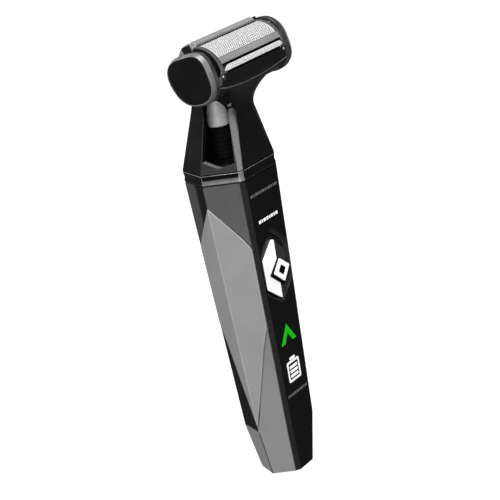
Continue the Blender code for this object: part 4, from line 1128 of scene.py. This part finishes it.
def finish_nodes():
    kept = {
        RUBBER: ("base_seal", "head_seal", "bulkhead_seal", "button_gasket"),
        SATIN: ("base_cap", "power_switch", "chassis", "top_bulkhead", "neck_spigot"),
        BRASS: ("charge_contact_left", "charge_contact_right"),
        CELL: ("battery_cell",),
        BOARD: ("circuit_board",),
        NYLON: ("status_led", "drive_crank", "cutter_carrier"),
        BOSS: ("drive_lever",),
        STEEL: ("battery_tab_bottom", "battery_tab_top", "chassis_screw_1", "chassis_screw_2", "motor",
                "motor_screw_left", "motor_screw_right", "motor_shaft", "lever_pin", "main_cutter",
                "trimmer_cutter"),
    }
    for finish, names in kept.items():
        for name in names:
            paint(NODES[name], finish)
    for name in ("base_cap", "charge_contact_left", "charge_contact_right", "battery_cell", "motor"):
        weld = NODES[name].modifiers.new("weld", "WELD")
        weld.merge_threshold = 0.001 * MM
        bevel(NODES[name], 0.15, 2, 40)


# ---- studio

def make_studio():
    floor_mesh = bpy.data.meshes.new("floor")
    reach = 6.0
    floor_mesh.from_pydata([(-reach, -reach, 0), (reach, -reach, 0), (reach, reach, 0), (-reach, reach, 0)],
                           [], [(0, 1, 2, 3)])
    floor = bpy.data.objects.new("floor", floor_mesh)
    bpy.context.scene.collection.objects.link(floor)
    floor.location.z = -0.0002
    pale = bpy.data.materials.new("pale_floor")
    pale.use_nodes = True
    shader = pale.node_tree.nodes["Principled BSDF"]
    shader.inputs["Base Color"].default_value = (0.30, 0.30, 0.30, 1)
    shader.inputs["Roughness"].default_value = 0.9
    shader.inputs["Emission Color"].default_value = (1, 1, 1, 1)
    shader.inputs["Emission Strength"].default_value = 0.95
    floor_mesh.materials.append(pale)
    floor.visible_glossy = False
    floor.visible_diffuse = False

    world = bpy.data.worlds.new("studio")
    bpy.context.scene.world = world
    world.use_nodes = True
    tree = world.node_tree
    tree.nodes.clear()
    seen = add_node(tree, "Background", {"Color": (0.96, 0.96, 0.96, 1), "Strength": 1.05}).outputs[0]
    room = add_node(tree, "Background", {"Strength": 0.14}).outputs[0]
    camera_ray = add_node(tree, "LightPath", {}).outputs["Is Camera Ray"]
    mixed = add_node(tree, "MixShader", {"Fac": camera_ray, 1: room, 2: seen}).outputs[0]
    add_node(tree, "OutputWorld", {"Surface": mixed})


def lamp(name, place_at, target, size, power):
    light = bpy.data.lights.new(name, "AREA")
    light.shape = "RECTANGLE"
    light.size, light.size_y = size
    light.energy = power
    made = bpy.data.objects.new(name, light)
    bpy.context.scene.collection.objects.link(made)
    made.location = place_at
    aim = Vector(target) - Vector(place_at)
    made.rotation_mode = "QUATERNION"
    made.rotation_quaternion = aim.to_track_quat("-Z", "Y")
    return made


def make_lamps():
    middle = (0.0, 0.0, 0.1)
    lamp("key", (-0.85, -0.42, 0.40), middle, (0.7, 0.9), 6.0)
    lamp("top", (-0.1, -0.25, 1.1), middle, (0.9, 0.7), 9.0)
    lamp("front", (0.25, -1.1, 0.5), middle, (0.5, 0.7), 0.7)
    lamp("back", (-0.3, 0.9, 0.6), middle, (0.8, 0.5), 3.0)


def make_camera():
    azimuth, elevation, roll = (math.radians(angle) for angle in CAMERA_ANGLES)
    back = Vector((math.sin(azimuth) * math.cos(elevation), -math.cos(azimuth) * math.cos(elevation),
                   math.sin(elevation)))
    level = (-back).cross(Vector((0, 0, 1))).normalized()
    upright = level.cross(-back)
    right = level * math.cos(roll) + upright * math.sin(roll)
    up = upright * math.cos(roll) - level * math.sin(roll)
    place_at = Vector((0, 0, CAMERA_AIM_Z)) + right * CAMERA_RIGHT + up * CAMERA_UP + back * CAMERA_BACK
    data = bpy.data.cameras.new("camera")
    data.lens = CAMERA_LENS
    data.sensor_width = 36.0
    data.clip_start, data.clip_end = 0.02, 20.0
    camera = bpy.data.objects.new("camera", data)
    bpy.context.scene.collection.objects.link(camera)
    matrix = Matrix((right, up, back)).transposed().to_4x4()
    matrix.translation = place_at * MM
    camera.matrix_world = matrix
    bpy.context.scene.camera = camera
    bpy.context.scene.view_settings.view_transform = "Standard"


def main():
    make_casing()
    make_front_panel()
    make_rear_panel()
    make_grips()
    make_collar()
    make_button()
    make_light()
    make_prints()
    make_housing()
    make_strip_knob()
    make_drive_column()
    make_cassette()
    make_fascia()
    make_guard()
    for side, word in SIDES:
        make_end(word, side)
    finish_nodes()
    make_studio()
    make_lamps()
    make_camera()


main()
